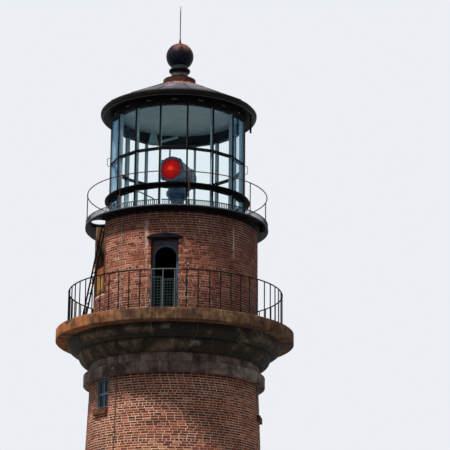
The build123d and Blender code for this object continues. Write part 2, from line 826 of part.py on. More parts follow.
# Undercut gutter at the eaves with a drain spout
gutter_top = eaves_bottom + gutter_height
gutter_foot_radius = eaves_radius - gutter_undercut
with BuildPart() as eaves_gutter:
    with BuildSketch(Plane.XZ):
        with BuildLine():
            Polyline((lantern_radius, head_top - gutter_soffit_drop), (gutter_foot_radius, eaves_bottom))
            TangentArc((eaves_radius, gutter_top - gutter_lip), (gutter_foot_radius, eaves_bottom),
                       tangent=(0, -1))
            Polyline(
                (eaves_radius, gutter_top - gutter_lip),
                (eaves_radius, gutter_top),
                (eaves_radius - gutter_wall, gutter_top),
                (eaves_radius - roof_foot_setback, roof_foot),
                (lantern_radius, head_top + gutter_top_rise),
                (lantern_radius, head_top - gutter_soffit_drop),
            )
        make_face()
    revolve(axis=Axis.Z)
    spout_top = facing(spout_bearing, gutter_foot_radius - spout_diameter, head_top - gutter_soffit_drop)
    spout_plane = Plane(origin=spout_top.origin, x_dir=spout_top.x_dir, z_dir=(0, 0, -1))
    with BuildSketch(spout_plane):
        Circle(spout_diameter / 2)
    extrude(amount=spout_drop)
    with BuildSketch(spout_plane.offset(spout_diameter)):
        Circle(spout_diameter / 2 - spout_wall)
    extrude(amount=spout_drop, mode=Mode.SUBTRACT)
eaves_gutter.part.label = "eaves_gutter"
export_step(eaves_gutter.part, "parts/eaves_gutter.step")

# Roof shell with standing seams between the gutter and the ventilator
roof_foot_radius = eaves_radius - roof_foot_setback
roof_top = roof_foot + roof_rise
with BuildPart() as roof_shell:
    with BuildSketch(Plane.XZ):
        Polygon(
            (roof_foot_radius, roof_foot),
            (roof_foot_radius, roof_foot + roof_thickness),
            (roof_apex_radius, roof_top + roof_thickness),
            (roof_apex_radius, roof_top),
            align=None,
        )
    revolve(axis=Axis.Z)
    for number in range(roof_seams):
        bearing = mullion_bearing + number * 360 / roof_seams
        with BuildSketch(upright(bearing).offset(-roof_seam_width / 2)):
            Polygon(
                (roof_foot_radius, roof_foot + roof_thickness / 2),
                (roof_foot_radius, roof_foot + roof_thickness + roof_seam_height),
                (vent_disc_radius, roof_top + roof_thickness),
                (vent_disc_radius, roof_top),
                align=None,
            )
        extrude(amount=roof_seam_width)
roof_shell.part.label = "roof_shell"
export_step(roof_shell.part, "parts/roof_shell.step")

# Metal ceiling of the lantern, carried by the head band
with BuildPart() as lantern_ceiling:
    with BuildSketch(Plane.XY.offset(head_top)):
        Circle(lantern_radius - ceiling_inset)
    extrude(amount=ceiling_thickness)
lantern_ceiling.part.label = "lantern_ceiling"
export_step(lantern_ceiling.part, "parts/lantern_ceiling.step")

# Ventilator base with its neck and collar, ball and lightning rod
disc_bottom = roof_top + roof_thickness
disc_top = disc_bottom + vent_disc_height
neck_bottom = disc_top + vent_shoulder_height
neck_top = neck_bottom + vent_neck_height
collar_top = neck_top + vent_collar_height
ball_middle = collar_top + ball_lift + ball_radius
cup_height = ball_lift + ball_radius - (ball_radius ** 2 - ball_cup_radius ** 2) ** 0.5
with BuildPart() as vent_base:
    with BuildSketch(Plane.XZ):
        with BuildLine():
            Polyline((0, disc_bottom), (vent_disc_radius, disc_bottom), (vent_disc_radius, disc_top))
            TangentArc((vent_neck_radius, neck_bottom), (vent_disc_radius, disc_top), tangent=(0, -1))
            Polyline(
                (vent_neck_radius, neck_bottom),
                (vent_neck_radius, neck_top),
                (vent_collar_radius, neck_top),
            )
            ThreePointArc(
                (vent_collar_radius, neck_top),
                (vent_collar_radius + vent_collar_bulge, neck_top + vent_collar_height / 2),
                (vent_collar_radius, collar_top),
            )
            Polyline(
                (vent_collar_radius, collar_top),
                (ball_cup_radius, collar_top),
                (ball_cup_radius, collar_top + cup_height),
                (ball_cup_bore, collar_top + cup_height),
                (ball_cup_bore, collar_top),
                (0, collar_top),
                (0, disc_bottom),
            )
        make_face()
    revolve(axis=Axis.Z)
    with Locations((0, 0, ball_middle)):
        Sphere(ball_radius, mode=Mode.SUBTRACT)
    with BuildSketch(Plane.XY.offset(disc_bottom)):
        Circle(vent_neck_radius - vent_wall)
    extrude(amount=collar_top - disc_bottom - vent_cap, mode=Mode.SUBTRACT)
vent_base.part.label = "vent_base"
export_step(vent_base.part, "parts/vent_base.step")

with BuildPart() as vent_ball:
    with Locations((0, 0, ball_middle)):
        Sphere(ball_radius)
        Sphere(ball_radius - vent_wall, mode=Mode.SUBTRACT)
vent_ball.part.label = "vent_ball"
export_step(vent_ball.part, "parts/vent_ball.step")

ball_top = ball_middle + ball_radius
with BuildPart() as lightning_rod:
    with BuildSketch(Plane.XZ):
        Polygon(
            (0, ball_top - rod_seat),
            (rod_socket_radius, ball_top - rod_seat),
            (rod_diameter / 2, ball_top + rod_socket_height),
            (0, ball_top + rod_socket_height),
            align=None,
        )
    revolve(axis=Axis.Z)
    with BuildSketch(Plane.XY.offset(ball_top + rod_socket_height)):
        RegularPolygon(rod_diameter / 2, 8)
    extrude(amount=rod_length)
    for side in (-1, 1):
        lean = radians(side * tine_lean)
        tine_foot = (0, 0, ball_top + rod_socket_height + rod_length - tine_diameter)
        with BuildSketch(Plane(origin=tine_foot, x_dir=(0, 1, 0), z_dir=(sin(lean), 0, cos(lean)))):
            RegularPolygon(tine_diameter / 2, 6)
        extrude(amount=tine_length)
    with Locations((0, 0, ball_middle)):
        Sphere(ball_radius, mode=Mode.SUBTRACT)
lightning_rod.part.label = "lightning_rod"
export_step(lightning_rod.part, "parts/lightning_rod.step")

# Rotating beacon: drum with a red lens in front and a clear one behind, on a yoke and turntable
beacon_plane = facing(beacon_bearing, 0, beacon_axis)
with BuildPart() as beacon_drum:
    with BuildSketch(beacon_plane.offset(-drum_length / 2)):
        Circle(drum_diameter / 2)
        Circle(drum_diameter / 2 - drum_wall, mode=Mode.SUBTRACT)
    extrude(amount=drum_length)
    for end in (-1, 1):
        ring_plane = beacon_plane.offset(end * (drum_length - lens_ring_length) / 2 - lens_ring_length / 2)
        with BuildSketch(ring_plane):
            Circle(drum_diameter / 2 + drum_band)
            Circle(lens_diameter / 2, mode=Mode.SUBTRACT)
        extrude(amount=lens_ring_length)
        for number in range(latches):
            turn = radians(45 + number * 360 / latches)
            latch_out = beacon_plane.x_dir * cos(turn) + beacon_plane.y_dir * sin(turn)
            latch_centre = ring_plane.origin + beacon_plane.z_dir * lens_ring_length / 2
            latch_plane = Plane(origin=latch_centre, x_dir=beacon_plane.z_dir, z_dir=latch_out)
            with BuildSketch(latch_plane.offset(drum_diameter / 2)):
                Rectangle(latch_size + lens_ring_length, latch_size)
            extrude(amount=drum_band + latch_height)
    hoop_step = drum_length / (drum_hoops + 1)
    for number in range(drum_hoops):
        with BuildSketch(beacon_plane.offset(hoop_step * (number + 1) - (drum_length + drum_hoop_width) / 2)):
            Circle(drum_diameter / 2 + drum_band)
            Circle(drum_diameter / 2 - drum_wall, mode=Mode.SUBTRACT)
        extrude(amount=drum_hoop_width)
beacon_drum.part.label = "beacon_drum"
export_step(beacon_drum.part, "parts/beacon_drum.step")

lens_seat = drum_length / 2 - lens_ring_length
lens_dome_radius = ((lens_diameter / 2) ** 2 + lens_sagitta ** 2) / (2 * lens_sagitta)
dome_middle = drum_length / 2 + lens_sagitta - lens_dome_radius
for name, end in (("red_lens", 1), ("clear_lens", -1)):
    lens_plane = facing(beacon_bearing + 90 * (1 - end), 0, beacon_axis)
    with BuildPart() as lens:
        with BuildSketch(lens_plane.offset(lens_seat)):
            Circle(lens_diameter / 2)
        extrude(amount=lens_ring_length + lens_sagitta)
        with Locations(lens_plane.offset(dome_middle)):
            Sphere(lens_dome_radius, mode=Mode.INTERSECT)
            Sphere(lens_dome_radius - lens_thickness, mode=Mode.SUBTRACT)
    lens.part.label = name
    export_step(lens.part, f"parts/{lens.part.label}.step")

turntable_bottom = beacon_axis - drum_diameter / 2 - yoke_height - turntable_height
with BuildPart() as beacon_yoke:
    with BuildSketch(Plane.XY.offset(turntable_bottom)):
        Circle(turntable_diameter / 2)
    extrude(amount=turntable_height)
    with BuildSketch(Plane(origin=(0, 0, turntable_bottom), x_dir=beacon_plane.x_dir, z_dir=(0, 0, 1))):
        Rectangle(yoke_width, yoke_depth)
    extrude(amount=beacon_axis - turntable_bottom)
    with BuildSketch(beacon_plane.offset(-drum_length / 2)):
        Circle(drum_diameter / 2)
    extrude(amount=drum_length, mode=Mode.SUBTRACT)
    for number in range(drum_hoops):
        with BuildSketch(beacon_plane.offset(hoop_step * (number + 1) - (drum_length + drum_hoop_width) / 2)):
            Circle(drum_diameter / 2 + drum_band)
        extrude(amount=drum_hoop_width, mode=Mode.SUBTRACT)
    with BuildSketch(Plane.XY.offset(turntable_bottom)):
        Circle(spindle_diameter / 2 + spindle_clearance)
    extrude(amount=spindle_height + spindle_clearance, mode=Mode.SUBTRACT)
beacon_yoke.part.label = "beacon_yoke"
export_step(beacon_yoke.part, "parts/beacon_yoke.step")

pedestal_top = turntable_bottom - turning_clearance
with BuildPart() as beacon_pedestal:
    with BuildSketch(Plane.XZ):
        Polygon(
            (0, plate_top),
            (pedestal_foot_diameter / 2, plate_top),
            (pedestal_foot_diameter / 2, plate_top + pedestal_foot_thickness),
            (pedestal_diameter / 2, plate_top + pedestal_foot_thickness),
            (pedestal_diameter / 2, pedestal_top - pedestal_head_height),
            (pedestal_head_diameter / 2, pedestal_top - pedestal_rim_height),
            (pedestal_head_diameter / 2, pedestal_top),
            (bearing_diameter / 2, pedestal_top),
            (bearing_diameter / 2, turntable_bottom - spindle_clearance),
            (spindle_diameter / 2, turntable_bottom - spindle_clearance),
            (spindle_diameter / 2, turntable_bottom + spindle_height),
            (0, turntable_bottom + spindle_height),
            align=None,
        )
    revolve(axis=Axis.Z)
beacon_pedestal.part.label = "beacon_pedestal"
export_step(beacon_pedestal.part, "parts/beacon_pedestal.step")

# Lightning conductor strap on the shaft and on the watch room wall
with BuildPart() as lightning_conductor:
    with BuildSketch(upright(conductor_bearing).offset(-conductor_width / 2)):
        with BuildLine():
            Polyline(
                (shaft_base_radius, foundation_height),
                (shaft_base_radius + conductor_thickness, foundation_height),
                (shaft_top_radius + conductor_thickness, belt_bottom_height),
                (shaft_top_radius, belt_bottom_height),
                close=True,
            )
        make_face()
    extrude(amount=conductor_width)
    with BuildSketch(facing(conductor_bearing, watch_radius, deck_top + watch_wall_height / 2)):
        Rectangle(conductor_width, watch_wall_height)
    extrude(amount=conductor_thickness)
lightning_conductor.part.label = "lightning_conductor"
export_step(lightning_conductor.part, "parts/lightning_conductor.step")

# Bulkhead lamp under the lantern gallery
lamp_axis = facing(lamp_bearing, lamp_radius, 0)
lamp_base_bottom = plate_bottom - lamp_base_height
lamp_bottom = plate_bottom - lamp_height
with BuildPart() as gallery_lamp:
    with BuildSketch(lamp_axis):
        with BuildLine():
            Polyline(
                (0, lamp_bottom),
                (0, plate_bottom),
                (lamp_base_diameter / 2, plate_bottom),
                (lamp_base_diameter / 2, lamp_base_bottom),
                (lamp_diameter / 2, lamp_base_bottom),
                (lamp_diameter / 2, lamp_bottom + lamp_round),
            )
            TangentArc(
                (lamp_diameter / 2, lamp_bottom + lamp_round),
                (lamp_diameter / 2 - lamp_round, lamp_bottom),
                tangent=(0, -1),
            )
            Line((lamp_diameter / 2 - lamp_round, lamp_bottom), (0, lamp_bottom))
        make_face()
    revolve(axis=Axis(lamp_axis.origin, (0, 0, 1)))
gallery_lamp.part.label = "gallery_lamp"
export_step(gallery_lamp.part, "parts/gallery_lamp.step")

# Lamps under the ceiling: a shade on a stem, and a sloping tube on its hanger
shade_top = head_top - shade_drop
tube_high = Vector(*tube_end, head_top - tube_end_drop)
tube_low = Vector(*tube_start, head_top - tube_start_drop)
with BuildPart() as ceiling_lamps:
    with BuildSketch(Plane.XY.offset(shade_top)):
        with Locations(shade_centre):
            Circle(hanger_diameter / 2)
    extrude(amount=shade_drop)
    with BuildSketch(Plane.XY.offset(shade_top - shade_height)) as shade_foot:
        with Locations(shade_centre):
            Circle(shade_bottom_diameter / 2)
            Circle(shade_bottom_diameter / 2 - shade_wall, mode=Mode.SUBTRACT)
    with BuildSketch(Plane.XY.offset(shade_top - shade_wall)) as shade_neck:
        with Locations(shade_centre):
            Circle(shade_top_diameter / 2)
            Circle(shade_top_diameter / 2 - shade_wall, mode=Mode.SUBTRACT)
    loft([shade_foot.sketch.face(), shade_neck.sketch.face()])
    with BuildSketch(Plane.XY.offset(shade_top - shade_wall)):
        with Locations(shade_centre):
            Circle(shade_top_diameter / 2)
    extrude(amount=shade_wall)
    with BuildSketch(Plane(origin=tube_low, x_dir=(0, 1, 0), z_dir=tube_high - tube_low)):
        Circle(tube_diameter / 2)
    extrude(amount=(tube_high - tube_low).length)
    with BuildSketch(Plane(origin=tube_high, x_dir=(1, 0, 0), z_dir=(0, 0, 1))):
        Circle(hanger_diameter / 2)
    extrude(amount=tube_end_drop)
ceiling_lamps.part.label = "ceiling_lamps"
export_step(ceiling_lamps.part, "parts/ceiling_lamps.step")

# Handrail of the lantern's floor hatch
with BuildPart() as lantern_handrail:
    with BuildLine() as handrail_path:
        FilletPolyline(
            (*handrail_foot, plate_top),
            (*handrail_foot, plate_top + handrail_low),
            (*handrail_head, plate_top + handrail_high),
            (*handrail_head, plate_top),
            radius=handrail_bend,
        )
    with BuildSketch(Plane.XY.offset(plate_top)):
        with Locations(handrail_foot):
            Circle(handrail_diameter / 2)
    sweep(path=handrail_path.line)
lantern_handrail.part.label = "lantern_handrail"
export_step(lantern_handrail.part, "parts/lantern_handrail.step")
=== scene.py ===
"""Finish, masonry and small fittings of the brick lighthouse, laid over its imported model. Metres, Z up.

Bearings are degrees from the front (-Y), positive towards +X, as in the model's source.
"""
import json
import math
import random

import bpy
from mathutils import Matrix, Vector


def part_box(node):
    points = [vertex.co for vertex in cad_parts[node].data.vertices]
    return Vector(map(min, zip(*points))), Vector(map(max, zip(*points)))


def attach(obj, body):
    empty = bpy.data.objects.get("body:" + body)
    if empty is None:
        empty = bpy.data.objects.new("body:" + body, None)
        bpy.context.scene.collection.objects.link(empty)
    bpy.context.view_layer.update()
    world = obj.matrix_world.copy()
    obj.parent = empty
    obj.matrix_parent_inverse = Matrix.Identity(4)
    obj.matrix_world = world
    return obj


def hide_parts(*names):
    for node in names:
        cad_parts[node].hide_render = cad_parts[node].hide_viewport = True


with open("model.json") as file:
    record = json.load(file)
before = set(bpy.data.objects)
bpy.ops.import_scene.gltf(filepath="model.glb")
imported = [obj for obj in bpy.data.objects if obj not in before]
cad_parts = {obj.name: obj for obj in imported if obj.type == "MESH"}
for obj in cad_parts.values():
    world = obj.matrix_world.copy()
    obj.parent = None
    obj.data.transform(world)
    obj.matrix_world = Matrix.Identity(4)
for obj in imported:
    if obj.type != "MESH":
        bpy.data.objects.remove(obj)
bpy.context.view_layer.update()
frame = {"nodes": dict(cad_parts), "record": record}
nodes = frame["nodes"]

# Radii, openings and bearings that the frame's boxes don't give
SHAFT_FOOT_RADIUS = 2.435
SHAFT_TOP_RADIUS = 2.238
SHAFT_MORTAR_RADIUS = 2.22
RAILING_RADIUS = 2.875
GALLERY_RAIL_RADIUS = 2.456
LANTERN_RADIUS = 1.875
CAP_BACK_RADIUS = 1.85
LENS_RADIUS = 0.29
DOOR_FACE = 1.993
ENTRANCE_FACE = 2.15
WINDOW_WIDTH = 0.59
ENTRANCE_WIDTH = 0.9
ENTRANCE_HEIGHT = 2.1
DOORWAY_WIDTH = 0.73
HATCH_WIDTH = 0.76
GUTTER_DROP = 0.115
HEAD_VENT_RISE = 0.135
WINDOW_BEARINGS = (-55.5, 81, 171)
ENTRANCE_BEARING = 171
DOORWAY_BEARING = -8
HATCH_BEARING = -68
MULLION_BEARING = 7.3
GALLERY_POST_BEARING = 6.9
BALUSTER_BEARING = -0.6
BEACON_BEARING = -20
CONDUCTOR_BEARING = -40.7
LANTERN_SIDES = 16
BALUSTERS = 60
GALLERY_POSTS = 8

# Masonry
BRICK_CHAMFER = 0.004
BRICK_STANDS = 0.006
SHORTEST_BRICK = 0.008
HEADER_EVERY = 6
BRICK_TURN_SPREAD, BRICK_END_SPREAD = 0.0007, 0.0006
BRICK_DROP_SPREAD, BRICK_STAND_SPREAD, BRICK_LEAN_SPREAD = 0.0012, 0.0012, 0.0008
STONE_JOINT = 0.014
STONE_EASE = 0.006
COURSE_BORE = 1.75
OVOLO_BORE = 1.65
OVOLO_FOOT = 0.035
OVOLO_LIP = 0.045
OVOLO_STEPS = 8

# Marks on the masonry. Places are (bearing, height), painted shades fade between two heights, and
# blooms are (bearing, height, half width)
STRAP_STAIN_BEARING = -41.2
SHADE_UNDER_BELT = (5.1, 5.72)
SHADE_UNDER_PLATE = (9.15, 9.75)
SHADE_OVER_DECK = (7.3, 8.5)
HOLE_PLACE = (-24.1, 9.158)
RIGHT_CRACK_PLACE = (42.6, 9.3)
LEFT_CRACK_PLACE = (-20.6, 9.4)
DOORWAY_LINE_PLACE = (-20.3, 8.2)
DARK_STONE_BLOOMS = (
    (49.9, 6.846, 7), (-4.2, 6.795, 3), (35, 6.833, 2), (-24.1, 6.781, 2), (11.8, 6.443, 4),
    (-0.5, 6.449, 2), (42.1, 6.59, 3))

# Small fittings
SLAT_PITCH, SLAT_HALF_LENGTH, SLAT_RADIUS = 0.011, 0.066, 0.0045
ANCHOR_PLACES = ((38.0, 9.411), (8.0, 8.589), (56.3, 8.034))
STRAP_HALF_WIDTH = 0.013
STRAP_THICKNESS = 0.008
CLAMP_FOOT, CLAMP_TOP = 5.862, 5.898
CLAMP_THICKNESS = 0.018

# Light and floor
KEY_BEARING = -45
KEY_RISE = 62
KEY_STRENGTH = 4.8
FILL_STRENGTH = 0.44
FLOOR_RADIUS = 14.0
FLOOR_SIDES = 96


def top_of(node):
    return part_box(node)[1][2]


def foot_of(node):
    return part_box(node)[0][2]


def reach_of(node):
    """Greatest distance of a full round node from the axis."""
    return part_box(node)[1][0]


def spot(bearing, radius, height):
    """Point at a bearing, a distance from the axis and a height."""
    a = math.radians(bearing)
    return Vector((radius * math.sin(a), -radius * math.cos(a), height))


SHAFT_FOOT, SHAFT_TOP = foot_of("shaft_wall_1"), top_of("shaft_wall_1")
WINDOW_FOOT = foot_of("window_frames")
DECK_TOP = top_of("gallery_deck")
WATCH_TOP = top_of("watch_room_wall_1")
WATCH_RADIUS = -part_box("watch_room_wall_1")[0][1]
BOARDS_TOP = top_of("side_opening_panel")
PLATE_TOP = top_of("lantern_gallery_plate")
LENS_HEIGHT = (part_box("red_lens")[0][2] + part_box("red_lens")[1][2]) / 2
HEAD_VENT_MIDDLE = foot_of("lantern_head") + HEAD_VENT_RISE
GUTTER_FOOT = top_of("lantern_head") - GUTTER_DROP
VENT_FOOT = foot_of("vent_base")
BALL_MIDDLE = (foot_of("vent_ball") + top_of("vent_ball")) / 2
BELT_RADIUS, BELT_TOP = reach_of("belt_course"), top_of("belt_course")
COURSE_BELOW = {"lower_ovolo": reach_of("frieze_course"), "upper_ovolo": reach_of("lower_ovolo")}


def linear(red, green, blue):
    """Scene colour of a screen colour given from 0 to 255."""
    def channel(value):
        value /= 255
        return value / 12.92 if value <= 0.04045 else ((value + 0.055) / 1.055) ** 2.4
    return channel(red), channel(green), channel(blue), 1.0


class Nodes:
    """Shader nodes added to one tree."""

    def __init__(self, tree):
        self.tree = tree

    def node(self, kind, **settings):
        made = self.tree.nodes.new(kind)
        for name, value in settings.items():
            setattr(made, name, value)
        return made

    def put(self, socket, value):
        if isinstance(value, bpy.types.NodeSocket):
            self.tree.links.new(value, socket)
        else:
            socket.default_value = value

    def math(self, operation, a, b=0.0, clamp=False):
        made = self.node("ShaderNodeMath", operation=operation, use_clamp=clamp)
        self.put(made.inputs[0], a)
        self.put(made.inputs[1], b)
        return made.outputs[0]

    def times(self, a, b):
        return self.math("MULTIPLY", a, b)

    def plus(self, a, b):
        return self.math("ADD", a, b)

    def minus(self, a, b):
        return self.math("SUBTRACT", a, b)

    def inverse(self, share):
        """What is left of 1."""
        return self.minus(1.0, share)

    def blended(self, factor, first, second):
        """Shader mixed from two others."""
        made = self.node("ShaderNodeMixShader")
        for socket, value in zip(made.inputs, (factor, first, second)):
            self.put(socket, value)
        return made.outputs[0]

    def seen(self):
        """1 for rays from the camera, a mirror or glass, and 0 for those that only carry light."""
        rays = self.node("ShaderNodeLightPath").outputs
        direct = self.math("MAXIMUM", rays["Is Camera Ray"], rays["Is Glossy Ray"])
        return self.math("MAXIMUM", direct, rays["Is Transmission Ray"])


class Look(Nodes):
    """One procedural material, built node by node."""

    def __init__(self, name, roughness=0.6, specular=0.5):
        self.material = bpy.data.materials.new(name)
        self.material.use_nodes = True
        super().__init__(self.material.node_tree)
        self.shader = self.tree.nodes["Principled BSDF"]
        self.shader.inputs["Roughness"].default_value = roughness
        self.shader.inputs["Specular IOR Level"].default_value = specular
        self.place = self.node("ShaderNodeTexCoord").outputs["Object"]

    def noise(self, scale, detail=4.0, rough=0.55, stretch=(1, 1, 1), distortion=0.0):
        mapping = self.node("ShaderNodeMapping")
        self.put(mapping.inputs["Vector"], self.place)
        mapping.inputs["Scale"].default_value = stretch
        made = self.node("ShaderNodeTexNoise")
        self.put(made.inputs["Vector"], mapping.outputs[0])
        made.inputs["Scale"].default_value = scale
        made.inputs["Detail"].default_value = detail
        made.inputs["Roughness"].default_value = rough
        made.inputs["Distortion"].default_value = distortion
        return made.outputs["Fac"]

    def smooth(self, value, low, high):
        """0 below low, 1 above high, and an eased step between."""
        made = self.node("ShaderNodeMapRange", interpolation_type="SMOOTHSTEP")
        self.put(made.inputs["Value"], value)
        made.inputs["From Min"].default_value = low
        made.inputs["From Max"].default_value = high
        return made.outputs[0]

    def near(self, value, middle, half_width, edge):
        """1 where value is within half_width of middle, falling to 0 over edge."""
        gap = self.math("ABSOLUTE", self.minus(value, middle))
        return self.inverse(self.smooth(gap, half_width, half_width + edge))

    def patch(self, bearing, height, place, half, edge):
        """1 within half sizes of a (bearing, height) place, falling to 0 over the edges."""
        return self.times(*(self.near(*limits) for limits in zip((bearing, height), place, half, edge)))

    def ramp(self, factor, *stops):
        made = self.node("ShaderNodeValToRGB")
        self.put(made.inputs[0], factor)
        bar = made.color_ramp
        while len(bar.elements) < len(stops):
            bar.elements.new(0.5)
        for element, (position, colour) in zip(bar.elements, stops):
            element.position = position
            element.color = linear(*colour)
        return made.outputs[0]

    def mix(self, factor, first, second):
        """Colour mixed from two others."""
        made = self.node("ShaderNodeMix", data_type="RGBA")
        self.put(made.inputs[0], factor)
        for socket, value in ((made.inputs[6], first), (made.inputs[7], second)):
            self.put(socket, linear(*value) if isinstance(value, tuple) else value)
        return made.outputs[2]

    def over(self, body, mask, share, colour):
        """A colour laid over body, as strong as share where the mask is 1."""
        return self.mix(self.times(mask, share), body, colour)

    def axes(self):
        """The place along X, Y and Z."""
        parts = self.node("ShaderNodeSeparateXYZ")
        self.put(parts.inputs[0], self.place)
        return parts.outputs

    def height(self):
        return self.axes()[2]

    def radius(self):
        """Distance from the axis."""
        x, y, _ = self.axes()
        return self.math("SQRT", self.plus(self.times(x, x), self.times(y, y)))

    def bearing(self):
        """Bearing in degrees."""
        x, y, _ = self.axes()
        return self.times(self.math("ARCTAN2", x, self.times(y, -1.0)), 180 / math.pi)

    def along(self, bearing):
        """Distance from the axis measured along one bearing."""
        ahead = spot(bearing, 1, 0)
        x, y, _ = self.axes()
        return self.plus(self.times(x, ahead.x), self.times(y, ahead.y))

    def attribute(self, name):
        return self.node("ShaderNodeAttribute", attribute_name=name).outputs["Fac"]

    def colour(self, value):
        self.put(self.shader.inputs["Base Color"], linear(*value) if isinstance(value, tuple) else value)
        return self

    def roughness(self, factor, low, high):
        made = self.node("ShaderNodeMapRange")
        self.put(made.inputs["Value"], factor)
        made.inputs["To Min"].default_value = low
        made.inputs["To Max"].default_value = high
        self.put(self.shader.inputs["Roughness"], made.outputs[0])
        return self

    def bump(self, height, distance):
        made = self.node("ShaderNodeBump")
        made.inputs["Strength"].default_value = 1.0
        made.inputs["Distance"].default_value = distance
        self.put(made.inputs["Height"], height)
        self.put(self.shader.inputs["Normal"], made.outputs[0])
        return self


# Materials of the masonry

def brick_look(name, darkest, dark, middle, warm, palest):
    """Fired brick whose tone is chosen brick by brick, with soot, pale bloom and a pitted face."""
    look = Look(name, roughness=0.9, specular=0.25)
    tone = look.attribute("tone")
    grain = look.noise(55, detail=6, rough=0.7)
    patch = look.noise(1.1, detail=3)
    shade = look.plus(tone, look.times(look.minus(patch, 0.5), 0.35))
    body = look.ramp(shade, (0.04, darkest), (0.14, dark), (0.5, middle), (0.78, warm), (1.0, palest))
    body = look.mix(look.smooth(grain, 0.35, 0.75), body, look.mix(0.75, body, (38, 22, 18)))
    bearing = look.bearing()
    height = look.height()
    streak = look.noise(2.6, detail=5, rough=0.65, stretch=(3.2, 3.2, 0.35))
    body = look.over(body, look.smooth(streak, 0.56, 0.78), 0.28, (178, 152, 140))
    return look, body, grain, bearing, height


def shaft_brick():
    """Shaft brick, shaded under the belt and stained beside the conductor."""
    look, body, grain, bearing, height = brick_look(
        "shaft_brick_face", (60, 32, 26), (88, 38, 28), (130, 58, 41), (174, 92, 64), (206, 148, 120))
    under = look.smooth(height, *SHADE_UNDER_BELT)
    body = look.over(body, under, 0.4, (58, 38, 34))
    stain = look.near(bearing, STRAP_STAIN_BEARING, 0.15, 1.1)
    stain = look.times(stain, look.noise(3.0, stretch=(1, 1, 0.2)))
    body = look.over(body, stain, 0.9, (84, 50, 34))
    look.colour(body).bump(grain, 0.004)
    return look.material


def watch_brick():
    """Watch room brick with painted shade at its foot, top and right, pale marks, and one hole painted as
    shade.
    """
    look, body, grain, bearing, height = brick_look(
        "watch_brick_face", (58, 30, 25), (108, 51, 39), (156, 83, 62), (188, 117, 90), (214, 162, 136))
    # Painted shade over the right side, away from the key light.
    wander = look.times(look.minus(look.noise(1.3, detail=3), 0.5), 30.0)
    right = look.smooth(look.plus(bearing, wander), -16.0, 40.0)
    body = look.over(body, right, 0.42, (84, 44, 36))
    # Painted shade under the lantern gallery plate, at the top of the wall.
    high = look.smooth(look.plus(height, look.times(bearing, 0.004)), *SHADE_UNDER_PLATE)
    body = look.over(body, high, 0.6, (56, 28, 26))
    # Painted shade at the foot of the wall, above the deck.
    low = look.inverse(look.smooth(height, *SHADE_OVER_DECK))
    body = look.over(body, low, 0.72, (56, 32, 27))
    body = look.mix(pale_marks(look, bearing, height), body, (214, 196, 184))
    # The hole is a near-black spot of painted shade on the flat wall.
    hole = look.patch(bearing, height, HOLE_PLACE, (0.5, 0.022), (0.4, 0.014))
    body = look.over(body, hole, 0.9, (10, 7, 6))
    look.colour(body).bump(grain, 0.004)
    return look.material


def pale_marks(look, bearing, height):
    """Lime runs on the watch room: two broken cracks, and a line beside the doorway."""
    break_up = look.smooth(look.noise(9.0, detail=5, rough=0.75), 0.34, 0.52)
    sway = look.times(look.minus(look.noise(2.2, detail=4, rough=0.7), 0.5), 6.0)
    swayed, upright = look.plus(bearing, sway), look.plus(bearing, look.times(sway, 0.15))
    right = look.patch(swayed, height, RIGHT_CRACK_PLACE, (0.3, 0.36), (0.6, 0.12))
    left = look.patch(swayed, height, LEFT_CRACK_PLACE, (0.6, 0.28), (1.2, 0.2))
    line = look.patch(upright, height, DOORWAY_LINE_PLACE, (0.1, 0.75), (0.35, 0.3))
    marks = look.math("MAXIMUM", right, look.times(line, 0.5))
    return look.times(look.math("MAXIMUM", marks, look.times(left, 0.6)), break_up)


def mortar(name, pale, stained, outside=0.0):
    """Sandy joint mortar. Inside the given distance from the axis, on the reveals and the room face, it
    is painted dark as shade.
    """
    look = Look(name, roughness=0.95, specular=0.2)
    sand = look.noise(160, detail=5, rough=0.7)
    patch = look.noise(1.7, detail=4)
    body = look.ramp(look.plus(patch, look.times(sand, 0.2)), (0.35, stained), (0.7, pale))
    if outside:
        # Painted shade inside the wall face: dark on the reveals, near black deeper in.
        radius = look.radius()
        rough_face = look.ramp(patch, (0.35, (34, 20, 17)), (0.65, (60, 34, 28)))
        inner = look.mix(look.smooth(radius, outside - 0.36, outside - 0.2), (18, 15, 14), rough_face)
        body = look.mix(look.smooth(radius, outside - 0.02, outside - 0.012), inner, body)
    look.colour(body).bump(sand, 0.003)
    return look.material


